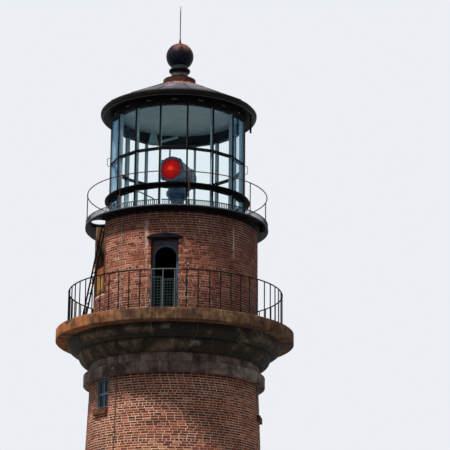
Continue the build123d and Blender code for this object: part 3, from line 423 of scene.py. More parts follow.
def brownstone(name, dark, middle, pale, stain, orange_left=False, lime_share=0.4, lips=(),
               blooms=()):
    """Weathered brownstone, each stone its own tone, with run-off stains and pits.

    Lips are (height, reach) of painted shade at a moulding's top, and blooms are spots of pale lime.
    """
    look = Look(name, roughness=0.92, specular=0.25)
    tone = look.attribute("tone")
    grain = look.noise(34, detail=7, rough=0.7)
    cloud = look.noise(3.0, detail=5, rough=0.6)
    shade = look.plus(look.times(tone, 0.2), look.times(cloud, 0.85))
    body = look.ramp(shade, (0.36, dark), (0.52, middle), (0.7, pale))
    bearing = look.bearing()
    height = look.height()
    runs = look.noise(4.2, detail=5, rough=0.7, stretch=(2.4, 2.4, 0.3))
    body = look.over(body, look.smooth(runs, 0.46, 0.7), 0.8, stain)
    lime = look.noise(2.1, detail=6, rough=0.72, stretch=(1.4, 1.4, 0.8), distortion=0.6)
    body = look.over(body, look.smooth(lime, 0.6, 0.8), lime_share, (168, 158, 146))
    if orange_left:
        # Orange patches, laid on the left side only.
        left = look.inverse(look.smooth(bearing, -75.0, -12.0))
        rust = look.times(left, look.smooth(cloud, 0.38, 0.62))
        body = look.over(body, rust, 0.8, (186, 104, 50))
    # Painted shade at each moulding's top, under the course above.
    for lip, reach in lips:
        lip_shade = look.near(look.plus(height, look.times(cloud, 0.04)), lip + 0.02, reach, 0.05)
        body = look.over(body, lip_shade, 0.75, (9, 8, 7))
    torn = look.smooth(look.noise(8.0, detail=6, rough=0.75), 0.4, 0.6)
    for centre, level, half in blooms:
        spread = look.patch(bearing, height, (centre, level), (half * 0.4, 0.02), (half, 0.07))
        body = look.over(body, look.times(spread, torn), 0.8, (146, 150, 130))
    look.colour(look.mix(look.smooth(grain, 0.58, 0.8), body, look.mix(0.7, body, (20, 17, 15))))
    look.bump(look.plus(grain, look.times(cloud, 0.6)), 0.012)
    return look.material


# Materials of the metal, glass and timber

def iron(name, dark, pale, rust, rust_share=0.25, roughness=0.55):
    """Painted iron with chalking, chips and rust."""
    look = Look(name, roughness=roughness, specular=0.06)
    cloud = look.noise(5.0, detail=5, rough=0.65)
    chips = look.noise(26, detail=6, rough=0.75)
    body = look.ramp(cloud, (0.35, dark), (0.7, pale))
    worn = look.plus(chips, look.times(cloud, 0.5))
    patch = look.smooth(worn, 0.98 - rust_share, 1.12 - rust_share)
    look.colour(look.mix(patch, body, rust)).roughness(patch, roughness, 0.9).bump(chips, 0.003)
    return look.material


def mullion_iron():
    """Black outside the glass, pale blue paint on the webs behind it."""
    look = Look("mullion_paint", roughness=0.6, specular=0.06)
    radius = look.radius()
    cloud = look.noise(7.0, detail=5, rough=0.6)
    outer = look.ramp(cloud, (0.4, (3, 4, 4)), (0.7, (16, 14, 13)))
    inner = look.ramp(cloud, (0.35, (176, 214, 232)), (0.7, (226, 242, 248)))
    outside = look.smooth(radius, CAP_BACK_RADIUS, CAP_BACK_RADIUS + 0.002)
    look.colour(look.mix(outside, inner, outer)).bump(cloud, 0.002)
    return look.material


def roof_metal():
    """Violet-grey roof sheet with dark runs and a rusty ring below the ventilator."""
    look = Look("roof_sheet", roughness=0.6, specular=0.35)
    radius = look.radius()
    cloud = look.noise(2.6, detail=6, rough=0.65)
    runs = look.noise(6.0, detail=5, rough=0.7, stretch=(1, 1, 0.25))
    body = look.ramp(cloud, (0.32, (30, 26, 33)), (0.5, (76, 67, 78)), (0.68, (138, 131, 146)))
    body = look.over(body, look.smooth(runs, 0.5, 0.7), 0.7, (40, 30, 32))
    low = look.times(look.smooth(radius, 1.5, 2.1), 0.8)
    body = look.mix(low, body, (34, 27, 28))
    rust = look.times(look.near(radius, 0.5, 0.06, 0.12), look.smooth(runs, 0.32, 0.56))
    look.colour(look.mix(rust, body, (168, 84, 30))).bump(runs, 0.004)
    return look.material


def gutter_iron():
    """Black gutter with a green-brown band of painted light from the ground on its lower curve, and a
    painted grey highlight on its lower edge.
    """
    look = Look("gutter_iron", roughness=0.6, specular=0.06)
    radius = look.radius()
    height = look.height()
    cloud = look.noise(5.0, detail=6, rough=0.7)
    body = look.ramp(cloud, (0.35, (3, 3, 3)), (0.7, (13, 12, 11)))
    # Green-brown band: painted light from the ground on the lower curve.
    band = look.times(look.near(height, GUTTER_FOOT + 0.052, 0.014, 0.03),
                      look.smooth(radius, 2.08, 2.1))
    body = look.mix(look.times(band, look.smooth(cloud, 0.3, 0.6)), body, (34, 33, 26))
    # Painted grey highlight along the lower edge.
    edge = look.times(look.near(height, GUTTER_FOOT, 0.004, 0.01), look.smooth(radius, 2.07, 2.09))
    body = look.over(body, edge, 0.8, (120, 124, 122))
    look.colour(body).bump(cloud, 0.003)
    return look.material


def ball_metal():
    """Blue-black ball with red-brown runs over its crown."""
    look = Look("ball_metal", roughness=0.5, specular=0.08)
    bearing = look.bearing()
    height = look.height()
    runs = look.noise(7.5, detail=5, rough=0.7, stretch=(1.6, 1.6, 0.14))
    cloud = look.noise(4.0, detail=4)
    body = look.ramp(cloud, (0.3, (4, 7, 14)), (0.7, (18, 23, 34)))
    high = look.plus(height, look.times(runs, 0.5))
    crown = look.smooth(high, BALL_MIDDLE + 0.22, BALL_MIDDLE + 0.55)
    side = look.smooth(look.plus(bearing, look.times(cloud, 40.0)), -50.0, 15.0)
    front = look.times(crown, look.times(side, look.smooth(runs, 0.34, 0.52)))
    look.colour(look.mix(look.times(front, 0.85), body, (132, 82, 72)))
    look.roughness(runs, 0.42, 0.62).bump(runs, 0.002)
    return look.material


def base_metal():
    """Ventilator base: rusty flange, dark neck with a painted highlight, black collar, grey-green cup."""
    look = Look("vent_sheet", roughness=0.55, specular=0.08)
    height = look.height()
    cloud = look.noise(6.0, detail=6, rough=0.7)
    body = look.ramp(cloud, (0.35, (10, 11, 13)), (0.6, (32, 29, 30)), (0.8, (78, 70, 68)))
    rust = look.inverse(look.smooth(height, VENT_FOOT + 0.13, VENT_FOOT + 0.24))
    scale = look.ramp(cloud, (0.35, (36, 22, 19)), (0.55, (80, 47, 36)), (0.75, (122, 84, 66)))
    body = look.over(body, rust, 0.9, scale)
    # Painted pale highlight round the neck.
    pale = look.times(look.near(height, VENT_FOOT + 0.285, 0.02, 0.03),
                      look.smooth(cloud, 0.35, 0.55))
    body = look.over(body, pale, 0.8, (150, 146, 144))
    black = look.near(height, VENT_FOOT + 0.415, 0.045, 0.015)
    body = look.over(body, black, 0.85, (7, 7, 9))
    cup = look.smooth(height, VENT_FOOT + 0.462, VENT_FOOT + 0.475)
    green = look.ramp(cloud, (0.3, (44, 52, 50)), (0.6, (96, 104, 98)))
    look.colour(look.mix(cup, body, green)).bump(cloud, 0.004)
    return look.material


def plate_edge():
    """Near-black gallery plate with a grey-blue top face, and a grey-blue band along its upper edge that
    is partly worn paint and partly a painted highlight.
    """
    look = Look("plate_iron", roughness=0.6, specular=0.06)
    height = look.height()
    cloud = look.noise(6.0, detail=6, rough=0.7)
    body = look.ramp(cloud, (0.35, (4, 5, 5)), (0.7, (17, 18, 20)))
    # Grey-blue band along the upper edge: partly worn paint, partly a painted highlight.
    edge = look.times(look.near(height, PLATE_TOP - 0.012, 0.008, 0.008),
                      look.smooth(cloud, 0.3, 0.5))
    face = look.smooth(height, PLATE_TOP - 0.001, PLATE_TOP)
    top = look.math("MAXIMUM", look.times(edge, 0.8), face)
    look.colour(look.mix(top, body, (104, 116, 128))).bump(cloud, 0.004)
    return look.material


def toe_iron():
    """Grey-blue toe grille, paler in patches on the left."""
    look = Look("toe_iron", roughness=0.6, specular=0.1)
    bearing = look.bearing()
    cloud = look.noise(7.0, detail=6, rough=0.7)
    body = look.ramp(cloud, (0.35, (26, 31, 38)), (0.7, (70, 80, 90)))
    # Pale patches on the left side only.
    left = look.inverse(look.smooth(bearing, -60.0, -15.0))
    worn = look.times(look.smooth(cloud, 0.45, 0.62), look.times(left, 0.8))
    look.colour(look.mix(worn, body, (150, 160, 166))).bump(cloud, 0.002)
    return look.material


def railing_iron():
    """Black railing, with a painted grey highlight where it stands before the doorway."""
    look = Look("railing_iron", roughness=0.6, specular=0.06)
    bearing = look.bearing()
    cloud = look.noise(6.0, detail=6, rough=0.7)
    body = look.ramp(cloud, (0.35, (8, 10, 12)), (0.7, (30, 32, 36)))
    body = look.mix(look.smooth(look.noise(24, detail=6, rough=0.75), 0.62, 0.75), body, (84, 56, 44))
    # Painted grey highlight on the bars before the doorway.
    doorway_highlight = look.times(look.near(bearing, -6.0, 6.0, 5.0), look.smooth(cloud, 0.25, 0.5))
    look.colour(look.mix(look.times(doorway_highlight, 0.6), body, (124, 132, 138))).bump(cloud, 0.002)
    return look.material


def door_paint():
    """Blue ring and head bar in front of a red-brown panel."""
    look = Look("door_paint", roughness=0.5, specular=0.35)
    depth = look.along(DOORWAY_BEARING)
    cloud = look.noise(7.0, detail=6, rough=0.7)
    blue = look.ramp(cloud, (0.35, (30, 68, 98)), (0.7, (66, 112, 148)))
    panel = look.ramp(cloud, (0.35, (74, 32, 26)), (0.7, (126, 62, 50)))
    front = look.smooth(depth, DOOR_FACE - 0.02, DOOR_FACE - 0.012)
    look.colour(look.mix(front, panel, blue)).bump(cloud, 0.002)
    return look.material


def window_paint():
    look = Look("window_paint", roughness=0.5)
    cloud = look.noise(9.0, detail=6, rough=0.7)
    body = look.ramp(cloud, (0.35, (52, 84, 108)), (0.7, (96, 130, 152)))
    bare = look.smooth(look.noise(40, detail=5), 0.62, 0.7)
    look.colour(look.mix(bare, body, (86, 70, 58))).bump(cloud, 0.002)
    return look.material


def opening_lining():
    """Boards round the side opening, pale near the top, with painted shadow lower down."""
    look = Look("opening_boards", roughness=0.85, specular=0.25)
    height = look.height()
    grain = look.noise(18, detail=6, rough=0.7, stretch=(2.5, 2.5, 0.12))
    pale = look.ramp(grain, (0.32, (96, 66, 48)), (0.66, (172, 134, 104)))
    dark = look.ramp(grain, (0.32, (26, 17, 13)), (0.66, (74, 46, 32)))
    # Painted shadow darkens the boards below about 9.1 m, fading out by 9.75 m.
    look.colour(look.mix(look.smooth(height, 9.1, 9.75), dark, pale)).bump(grain, 0.004)
    return look.material


def opening_boards():
    """Boarded lower half: orange-tan at the top, yellower below."""
    look = Look("tan_boards", roughness=0.75, specular=0.3)
    bearing = look.bearing()
    height = look.height()
    grain = look.noise(14, detail=6, rough=0.7, stretch=(2.5, 2.5, 0.15))
    orange = look.ramp(grain, (0.32, (122, 60, 26)), (0.66, (184, 104, 52)))
    yellow = look.ramp(grain, (0.32, (140, 94, 40)), (0.66, (204, 156, 84)))
    leaning = look.plus(height, look.times(bearing, 0.012))
    upper = look.smooth(leaning, BOARDS_TOP - 1.1, BOARDS_TOP - 1.0)
    stain = look.times(look.smooth(look.noise(5.0, detail=5), 0.5, 0.7), 0.5)
    look.colour(look.mix(stain, look.mix(upper, yellow, orange), (70, 40, 22))).bump(grain, 0.004)
    return look.material


def strap_metal():
    """Conductor strap: grey on the watch room, dark with rust on the stone and the shaft."""
    look = Look("conductor_strap", roughness=0.6, specular=0.35)
    height = look.height()
    cloud = look.noise(9.0, detail=5, rough=0.7)
    low = look.ramp(cloud, (0.35, (24, 20, 17)), (0.7, (64, 46, 32)))
    high = look.ramp(cloud, (0.35, (96, 94, 90)), (0.7, (150, 148, 142)))
    above = look.smooth(height, DECK_TOP - 0.3, DECK_TOP)
    look.colour(look.mix(above, low, high)).bump(cloud, 0.002)
    return look.material


def paint(name, dark, pale, worn, roughness=0.45, worn_share=0.2):
    """Cloudy paint with worn flakes."""
    look = Look(name, roughness=roughness, specular=0.25)
    cloud = look.noise(4.0, detail=5, rough=0.6)
    flakes = look.noise(30, detail=6, rough=0.7)
    body = look.ramp(cloud, (0.35, dark), (0.68, pale))
    patch = look.smooth(flakes, 0.8 - worn_share, 0.9 - worn_share)
    look.colour(look.mix(patch, body, worn)).roughness(patch, roughness, 0.85).bump(flakes, 0.002)
    return look.material


def timber(name, dark, pale, board=0.12):
    """Boards with grain that runs upwards and a dark joint between them."""
    look = Look(name, roughness=0.8, specular=0.3)
    bearing = look.bearing()
    grain = look.noise(18, detail=6, rough=0.7, stretch=(2.5, 2.5, 0.12))
    body = look.ramp(grain, (0.32, dark), (0.68, pale))
    along = look.times(bearing, ENTRANCE_FACE * math.pi / 180 / board)
    joint = look.near(look.math("FRACT", along), 0.5, 0.02, 0.03)
    look.colour(look.mix(joint, body, (14, 11, 9))).bump(look.minus(grain, joint), 0.004)
    return look.material


def clear_pane(name, tint, gloss_tint):
    """Thin glass: light passes straight through, and it mirrors more at a low angle.

    A faint film of dirt lies over it.
    """
    look = Look(name, roughness=0.9)
    see = look.node("ShaderNodeBsdfTransparent")
    see.inputs[0].default_value = linear(*tint)
    mirror = look.node("ShaderNodeBsdfGlossy")
    mirror.inputs["Color"].default_value = linear(*gloss_tint)
    mirror.inputs["Roughness"].default_value = 0.03
    edge = look.node("ShaderNodeLayerWeight")
    edge.inputs["Blend"].default_value = 0.5
    low_angle = look.math("POWER", edge.outputs["Facing"], 5.0)
    mirrored = look.math("ADD", low_angle, 0.004, clamp=True)
    glass = look.blended(mirrored, see.outputs[0], mirror.outputs[0])
    look.colour((168, 188, 190))
    film = look.times(look.smooth(look.noise(2.4, detail=6, rough=0.7), 0.3, 0.8), 0.006)
    coated = look.blended(film, glass, look.shader.outputs[0])
    look.put(look.tree.nodes["Material Output"].inputs["Surface"], coated)
    return look.material


def dark_window():
    look = Look("window_pane", roughness=0.3, specular=0.2)
    cloud = look.noise(3.0, detail=4)
    # Opaque pane: the dark of the room behind the glass is painted on as shade.
    body = look.ramp(cloud, (0.35, (14, 26, 34)), (0.7, (40, 62, 74)))
    look.colour(body).roughness(cloud, 0.2, 0.4)
    return look.material


def lens_glass(name, rim, middle, heart, glow):
    """Moulded lens lit from behind: bright at its axis, darker at the rim, with prism rings."""
    look = Look(name, roughness=0.12, specular=0.03)
    axis = spot(BEACON_BEARING, 1, 0)
    x, y, z = look.axes()
    side = look.minus(look.times(x, -axis.y), look.times(y, -axis.x))
    rise = look.minus(z, LENS_HEIGHT)
    distance = look.math("SQRT", look.plus(look.times(side, side), look.times(rise, rise)))
    share = look.math("DIVIDE", distance, LENS_RADIUS)
    body = look.ramp(share, (0.0, heart), (0.3, middle), (0.95, rim))
    ripple = look.math("SINE", look.times(distance, 2 * math.pi / 0.022))
    look.colour(body).bump(ripple, 0.0012)
    look.put(look.shader.inputs["Emission Color"], body)
    look.shader.inputs["Emission Strength"].default_value = glow
    return look.material


# Meshes

class Mesh:
    """Vertices and faces gathered from many small shapes."""

    def __init__(self):
        self.vertices, self.faces, self.tones, self.indices = [], [], [], []

    def add(self, points, faces, tone=0.5, index=0):
        start = len(self.vertices)
        self.vertices += [tuple(p) for p in points]
        self.faces += [tuple(start + i for i in face) for face in faces]
        self.tones += [tone] * len(faces)
        self.indices += [index] * len(faces)

    def piece(self, name, materials, slot, body="tower"):
        """The finished piece, riding on a body."""
        mesh = bpy.data.meshes.new(name)
        mesh.from_pydata(self.vertices, [], self.faces)
        for material in materials:
            mesh.materials.append(material)
        mesh.attributes.new("tone", "FLOAT", "FACE").data.foreach_set("value", self.tones)
        mesh.polygons.foreach_set("material_index", self.indices)
        mesh.polygons.foreach_set("use_smooth", [False] * len(mesh.polygons))
        mesh.validate()
        mesh.update()
        piece = bpy.data.objects.new(name, mesh)
        bpy.context.scene.collection.objects.link(piece)
        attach(piece, body)
        return piece


def drawn_in(profile, amount):
    """A closed outline with all but its inner side moved towards the axis."""
    inner_side = min(r for r, _ in profile) + 0.02
    return [(r - amount if r > inner_side else r, z) for r, z in profile]


def turned(mesh, profile, first, last, step, tone=0.5, index=0, inset=0.0, closed=False):
    """Sweeps a closed outline of (distance, height) round the axis.

    An inset eases both ends.
    """
    count = max(1, math.ceil((last - first) / step))
    bearings = [first + (last - first) * i / count for i in range(count + (0 if closed else 1))]
    sections = [(b, profile) for b in bearings]
    if inset:
        shrunk = drawn_in(profile, inset)
        nick = math.degrees(inset / max(r for r, _ in profile))
        sections = [(first, shrunk), (first + nick, profile), *sections[1:-1],
                    (last - nick, profile), (last, shrunk)]
    points = [spot(b, r, z) for b, outline in sections for r, z in outline]
    n = len(profile)
    faces = []
    for s in range(len(sections) - (0 if closed else 1)):
        a, b = s * n, (s + 1) % len(sections) * n
        faces += [(a + i, b + i, b + (i + 1) % n, a + (i + 1) % n) for i in range(n)]
    if not closed:
        faces += [tuple(range(n - 1, -1, -1)), tuple(range(len(points) - n, len(points)))]
    mesh.add(points, faces, tone, index)


def rod(mesh, start, end, radius, sides=8):
    """Straight round bar between two points."""
    along = (Vector(end) - Vector(start)).normalized()
    across = along.orthogonal().normalized()
    up = along.cross(across)
    turns = [2 * math.pi * i / sides for i in range(sides)]
    ring = [across * math.cos(turn) + up * math.sin(turn) for turn in turns]
    points = [Vector(start) + r * radius for r in ring] + [Vector(end) + r * radius for r in ring]
    faces = [(i, (i + 1) % sides, sides + (i + 1) % sides, sides + i) for i in range(sides)]
    faces += [tuple(range(sides - 1, -1, -1)), tuple(range(sides, 2 * sides))]
    mesh.add(points, faces)


# Masonry

def cut(intervals, low, high):
    """Takes the stretch from low to high out of a list of stretches."""
    left = []
    for a, b in intervals:
        left += [(a, min(b, low)), (max(a, high), b)] if low < b and high > a else [(a, b)]
    return [(a, b) for a, b in left if b - a > SHORTEST_BRICK]


def lay_bricks(name, foot, top, rows, stretchers, radius_at, gap, header_rows, mixed_rows,
               dark_share, openings, seed, material, slot):
    """Brick facing in courses round a wall, cut at its openings, which are (bearing, half width,
    foot, top). Each brick has its own tone and set. Bearings and joints are in radians here.
    """
    rng = random.Random(seed)
    mesh = Mesh()
    pitch = (top - foot) / rows
    for row in range(rows):
        high = top - row * pitch
        low = high - pitch + gap
        radius = radius_at((low + high) / 2)
        stretcher = 2 * math.pi / stretchers
        joint = gap / radius
        bearing = rng.uniform(0, stretcher)
        end = bearing + 2 * math.pi
        number = 0
        while bearing < end - 1e-6:
            header = row in header_rows or (row in mixed_rows and number % 2)
            width = stretcher / 2 if header else stretcher
            pieces = [(bearing, min(bearing + width, end) - joint)]
            for middle, half_width, bottom, ceiling in openings:
                if bottom < high - 0.01 and ceiling > low + 0.01:
                    half = math.asin(half_width / radius)
                    for turn in (-2 * math.pi, 0, 2 * math.pi):
                        pieces = cut(pieces, middle + turn - half, middle + turn + half)
            for a, b in pieces:
                tone = rng.betavariate(2.2, 2.2)
                if header and rng.random() < dark_share:
                    tone *= 0.25
                brick(mesh, rng, a, b, low, high, radius_at, tone)
            bearing += width
            number += 1
    return mesh.piece(name, [material], slot)


def brick(mesh, rng, a, b, low, high, radius_at, tone):
    """One brick from bearing a to b in radians, with eased edges and a face that leans a little."""
    shift, drop = rng.gauss(0, BRICK_TURN_SPREAD), rng.gauss(0, BRICK_DROP_SPREAD)
    a, b = a + shift, b + shift + rng.gauss(0, BRICK_END_SPREAD)
    low, high = low + drop, high + drop * 0.3
    stand = BRICK_STANDS + rng.gauss(0, BRICK_STAND_SPREAD)
    lean = [rng.gauss(0, BRICK_LEAN_SPREAD) for _ in range(4)]
    turn = BRICK_CHAMFER / radius_at(low)
    corners = ((a, low), (b, low), (b, high), (a, high))
    inner = ((a + turn, low + BRICK_CHAMFER), (b - turn, low + BRICK_CHAMFER),
             (b - turn, high - BRICK_CHAMFER), (a + turn, high - BRICK_CHAMFER))
    points = []
    for outline, extra in ((corners, -0.01), (corners, stand - BRICK_CHAMFER), (inner, stand)):
        for (angle, height), tip in zip(outline, lean):
            radius = radius_at(height) + extra + (tip if extra > 0 else 0)
            points.append((radius * math.sin(angle), -radius * math.cos(angle), height))
    faces = [(8, 9, 10, 11)]
    for i in range(4):
        j = (i + 1) % 4
        faces += [(i, j, 4 + j, 4 + i), (4 + i, 4 + j, 8 + j, 8 + i)]
    mesh.add(points, faces, tone)


def all_joints(front, count):
    """Joint bearings round the circle: those seen at the front, then even stones behind."""
    rest = count - len(front) + 1
    span = 360 - (front[-1] - front[0])
    return list(front) + [front[-1] + span * i / rest for i in range(1, rest)] + [front[0] + 360]


def stone_course(node, profile, joints, seed, slot):
    """Stones with eased ends round a mortar core, in place of a plain course."""
    rng = random.Random(seed)
    mesh = Mesh()
    outer, inner = max(r for r, _ in profile), min(r for r, _ in profile)
    low, high = min(z for _, z in profile), max(z for _, z in profile)
    core = [(inner + 0.002 if r < inner + 0.02 else r - 0.012, min(max(z, low + 0.01), high - 0.01))
            for r, z in profile]
    turned(mesh, core, 0, 360, 3, index=1, closed=True)
    half = math.degrees(STONE_JOINT / 2 / outer)
    for first, last in zip(joints, joints[1:]):
        own = drawn_in(profile, rng.uniform(0, 0.003))
        turned(mesh, own, first + half, last - half, 3, rng.random(), inset=STONE_EASE)
    piece = mesh.piece(node + "_stones", [looks[slot], stone_mortar], slot)
    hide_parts(node)
    return piece


def plain_outline(node, ease=0.006):
    """Cross-section of a plain course."""
    bottom, top, outer = foot_of(node), top_of(node), reach_of(node)
    return [(COURSE_BORE, top), (outer - ease, top), (outer, top - ease), (outer, bottom + ease),
            (outer - ease, bottom), (COURSE_BORE, bottom)]


def ovolo_outline(node):
    """Cross-section of a course that swells out from the course below to its lip."""
    bottom, top, outer = foot_of(node), top_of(node), reach_of(node)
    foot = COURSE_BELOW[node] + OVOLO_FOOT
    lip = top - OVOLO_LIP
    rise, run = lip - bottom, outer - foot
    radius = (run ** 2 + rise ** 2) / (2 * run)
    sweep = math.asin(rise / radius)
    turns = [sweep * i / OVOLO_STEPS for i in range(OVOLO_STEPS + 1)]
    curve = [(outer - radius + radius * math.cos(turn), lip - radius * math.sin(turn))
             for turn in turns]
    return [(OVOLO_BORE, top), (outer - 0.006, top), (outer, top - 0.006), *curve,
            (OVOLO_BORE, bottom)]


def shaft_radius(height):
    share = (height - SHAFT_FOOT) / (SHAFT_TOP - SHAFT_FOOT)
    return SHAFT_FOOT_RADIUS + (SHAFT_TOP_RADIUS - SHAFT_FOOT_RADIUS) * share


stone_mortar = mortar("stone_joint", (150, 138, 122), (78, 70, 62))
looks = {
    "shaft_brick": mortar("shaft_mortar", (230, 200, 176), (186, 152, 130),
                          outside=SHAFT_MORTAR_RADIUS),
    "watch_brick": mortar("watch_mortar", (232, 196, 174), (150, 104, 88), outside=WATCH_RADIUS),
    "foundation_stone": brownstone(
        "foundation_stone", (88, 80, 72), (124, 114, 102), (156, 146, 132), (70, 62, 54)),
    "brownstone_dark": brownstone(
        "dark_brownstone", (16, 13, 11), (54, 44, 36), (128, 112, 92), (22, 25, 18), lime_share=0.85,
        lips=((top_of("upper_ovolo"), 0.09), (top_of("lower_ovolo"), 0.035)),
        blooms=DARK_STONE_BLOOMS),
    "brownstone_mauve": brownstone(
        "mauve_brownstone", (62, 50, 48), (124, 106, 101), (172, 155, 146), (50, 38, 36),
        lime_share=0.3),
    "brownstone_tan": brownstone(
        "tan_brownstone", (42, 28, 19), (90, 63, 44), (150, 115, 86), (36, 25, 18),
        orange_left=True),
    "floor_stone": brownstone(
        "floor_stone", (66, 60, 54), (92, 84, 76), (120, 110, 100), (60, 54, 48)),
    "black_iron": iron(
        "black_iron", (3, 3, 4), (13, 14, 16), (48, 32, 26), rust_share=0.08, roughness=0.65),
    "plate_iron": plate_edge(),
    "rusty_iron": iron(
        "rusty_iron", (40, 24, 21), (76, 48, 40), (112, 66, 46), rust_share=0.3, roughness=0.7),
    "mullion_iron": mullion_iron(),
    "roof_metal": roof_metal(),
    "ball_copper": ball_metal(),
    "ceiling_paint": paint(
        "ceiling_paint", (196, 236, 240), (224, 248, 250), (140, 172, 176), worn_share=0.15),
    "lantern_glass": clear_pane("lantern_pane", (252, 255, 255), (128, 178, 214)),
    "window_glass": dark_window(),
    "blue_grey_paint": door_paint(),
    "guard_mesh": paint("guard_paint", (16, 26, 27), (38, 56, 57), (24, 22, 21)),
    "weathered_timber": opening_lining(),
    "tan_panel": opening_boards(),
    "beacon_paint": paint(
        "beacon_enamel", (36, 64, 96), (88, 132, 168), (28, 42, 62), roughness=0.4),
    "red_glass": lens_glass("red_lens_glass", (104, 0, 1), (186, 3, 2), (250, 76, 22), 0.85),
    "clear_glass": lens_glass(
        "clear_lens_glass", (150, 168, 176), (198, 212, 218), (235, 240, 242), 0.15),
    "copper_strap": strap_metal(),
    "rail_paint": paint("handrail_paint", (66, 92, 112), (104, 132, 152), (60, 66, 70)),
}
own_looks = {
    "lantern_handholds": iron(
        "handhold_iron", (6, 7, 8), (24, 24, 26), (60, 40, 32), rust_share=0.12),
    "vent_base": base_metal(),
    "eaves_gutter": gutter_iron(),
    "toe_grille": toe_iron(),
    "window_frames": window_paint(),
    "window_sills": brownstone(
        "sill_stone", (64, 40, 30), (112, 70, 50), (150, 100, 74), (52, 34, 26)),
    "door_lintel": iron("lintel_iron", (7, 9, 14), (24, 29, 39), (50, 36, 32), rust_share=0.08),
    "entrance_door": timber("entrance_boards", (34, 50, 70), (66, 88, 112)),
    "entrance_frame": paint("entrance_paint", (38, 54, 74), (72, 92, 114), (96, 72, 60)),
    **{f"gallery_railing_{number}": railing_iron() for number in range(1, 5)},
}
vent_grey = paint("vent_louvre", (120, 122, 124), (170, 172, 172), (80, 76, 72))
for part in frame["record"]["subparts"]:
    for material_slot in nodes[part["node"]].material_slots:
        material_slot.material = own_looks.get(part["node"], looks[part["material_slot"]])

# Brick faces on the shaft and the watch room
windows = [(math.radians(b), WINDOW_WIDTH / 2, WINDOW_FOOT, SHAFT_TOP) for b in WINDOW_BEARINGS]
entrance = (math.radians(ENTRANCE_BEARING), ENTRANCE_WIDTH / 2, SHAFT_FOOT,
            SHAFT_FOOT + ENTRANCE_HEIGHT)
lay_bricks(
    "shaft_bricks", SHAFT_FOOT, SHAFT_TOP, rows=83, stretchers=70, radius_at=shaft_radius,
    gap=0.017, header_rows={2, 5, 7, 12, *range(26, 83, HEADER_EVERY)}, mixed_rows={16, 20},
    dark_share=0.2, openings=[*windows, entrance], seed=4, material=shaft_brick(),
    slot="shaft_brick")
doorway = (math.radians(DOORWAY_BEARING), DOORWAY_WIDTH / 2, DECK_TOP,
           top_of("gallery_door_frame"))
hatch = (math.radians(HATCH_BEARING), HATCH_WIDTH / 2, foot_of("side_opening_frame"),
         top_of("side_opening_frame"))
lay_bricks(
    "watch_room_bricks", DECK_TOP, WATCH_TOP, rows=43, stretchers=67,
    radius_at=lambda height: WATCH_RADIUS, gap=0.011, header_rows={*range(4, 43, HEADER_EVERY)},
    mixed_rows=set(), dark_share=0.1, openings=[doorway, hatch], seed=9, material=watch_brick(),
    slot="watch_brick")

# Stone courses from the deck down, with the joints seen at the front and the number of stones
for course, outline, front_joints, stones, seed, slot in (
        ("gallery_deck", plain_outline("gallery_deck", 0.012),
         (-42.3, -24.1, 0.0, 23.7, 47.6), 15, 11, "brownstone_tan"),
        ("upper_ovolo", ovolo_outline("upper_ovolo"),
         (-36.2, -12.1, 11.5, 36.2), 15, 12, "brownstone_dark"),
        ("lower_ovolo", ovolo_outline("lower_ovolo"),
         (-42.0, -23.5, -0.8, 22.4), 16, 13, "brownstone_dark"),
        ("frieze_course", plain_outline("frieze_course"),
         (-46.2, -12.3, 11.5, 57.8), 12, 14, "brownstone_mauve"),
        ("belt_course", plain_outline("belt_course", 0.01),
         (-50.0, -27.0, -4.0, 19.0, 42.0), 16, 15, "brownstone_mauve")):
    stone_course(course, outline, all_joints(front_joints, stones), seed, slot)


def bolted_feet(name, radius, height, first, count, reach, slot):
    """Round flanges with two bolts where upright bars stand on a deck."""
    mesh = Mesh()
    for number in range(count):
        bearing = first + number * 360 / count
        foot = spot(bearing, radius, height)
        rod(mesh, foot, foot + Vector((0, 0, 0.01)), reach, 12)
        rod(mesh, foot, foot + Vector((0, 0, 0.026)), reach * 0.62, 12)
        for side in (-1, 1):
            bolt = spot(bearing + side * math.degrees(reach * 0.78 / radius), radius, height + 0.01)
            rod(mesh, bolt, bolt + Vector((0, 0, 0.009)), 0.007, 6)
    return mesh.piece(name, [looks[slot]], slot)


def head_vents():
    """Three slats in each vent of the head band."""
    mesh = Mesh()
    face = LANTERN_RADIUS * math.cos(math.pi / LANTERN_SIDES) - 0.004
    for number in range(LANTERN_SIDES):
        bearing = MULLION_BEARING + (number + 0.5) * 360 / LANTERN_SIDES
        across = spot(bearing + 90, 1, 0)
        for slat in (-1, 0, 1):
            centre = spot(bearing, face, HEAD_VENT_MIDDLE + slat * SLAT_PITCH)
            rod(mesh, centre - across * SLAT_HALF_LENGTH, centre + across * SLAT_HALF_LENGTH,
                SLAT_RADIUS, 6)
    return mesh.piece("head_vents", [vent_grey], "plate_iron")


def wall_anchors():
    """Iron eyes left in the watch room's brickwork: a round plate, a stub and a small triangle."""
    mesh = Mesh()
    for bearing, height in ANCHOR_PLACES:
        across = spot(bearing + 90, 1, 0)
        base, wall, plate, tip = (
            spot(bearing, WATCH_RADIUS + out, height) for out in (-0.01, 0, 0.012, 0.035))
        rod(mesh, base, plate, 0.03, 12)
        rod(mesh, wall, tip, 0.01)
        corners = [tip + across * x + Vector((0, 0, z))
                   for x, z in ((0, 0.012), (0.022, -0.014), (-0.022, -0.014))]
        for first, last in zip(corners, corners[1:] + corners[:1]):
            rod(mesh, first, last, 0.005, 6)
    return mesh.piece("wall_anchors", [vent_grey], "black_iron")


def banded(path, thickness):
    """Closed outline of a strap of even thickness outside a path of (distance, height)."""
    normals = []
    for (r0, z0), (r1, z1) in zip(path, path[1:]):
        length = math.hypot(r1 - r0, z1 - z0)
        normals.append(((z1 - z0) / length, (r0 - r1) / length))
    outer = []
    for point, before, after in zip(path, normals[:1] + normals, normals + normals[-1:]):
        share = thickness / (1 + before[0] * after[0] + before[1] * after[1])
        outer.append(tuple(p + (a + b) * share for p, a, b in zip(point, before, after)))
    return path + outer[::-1]


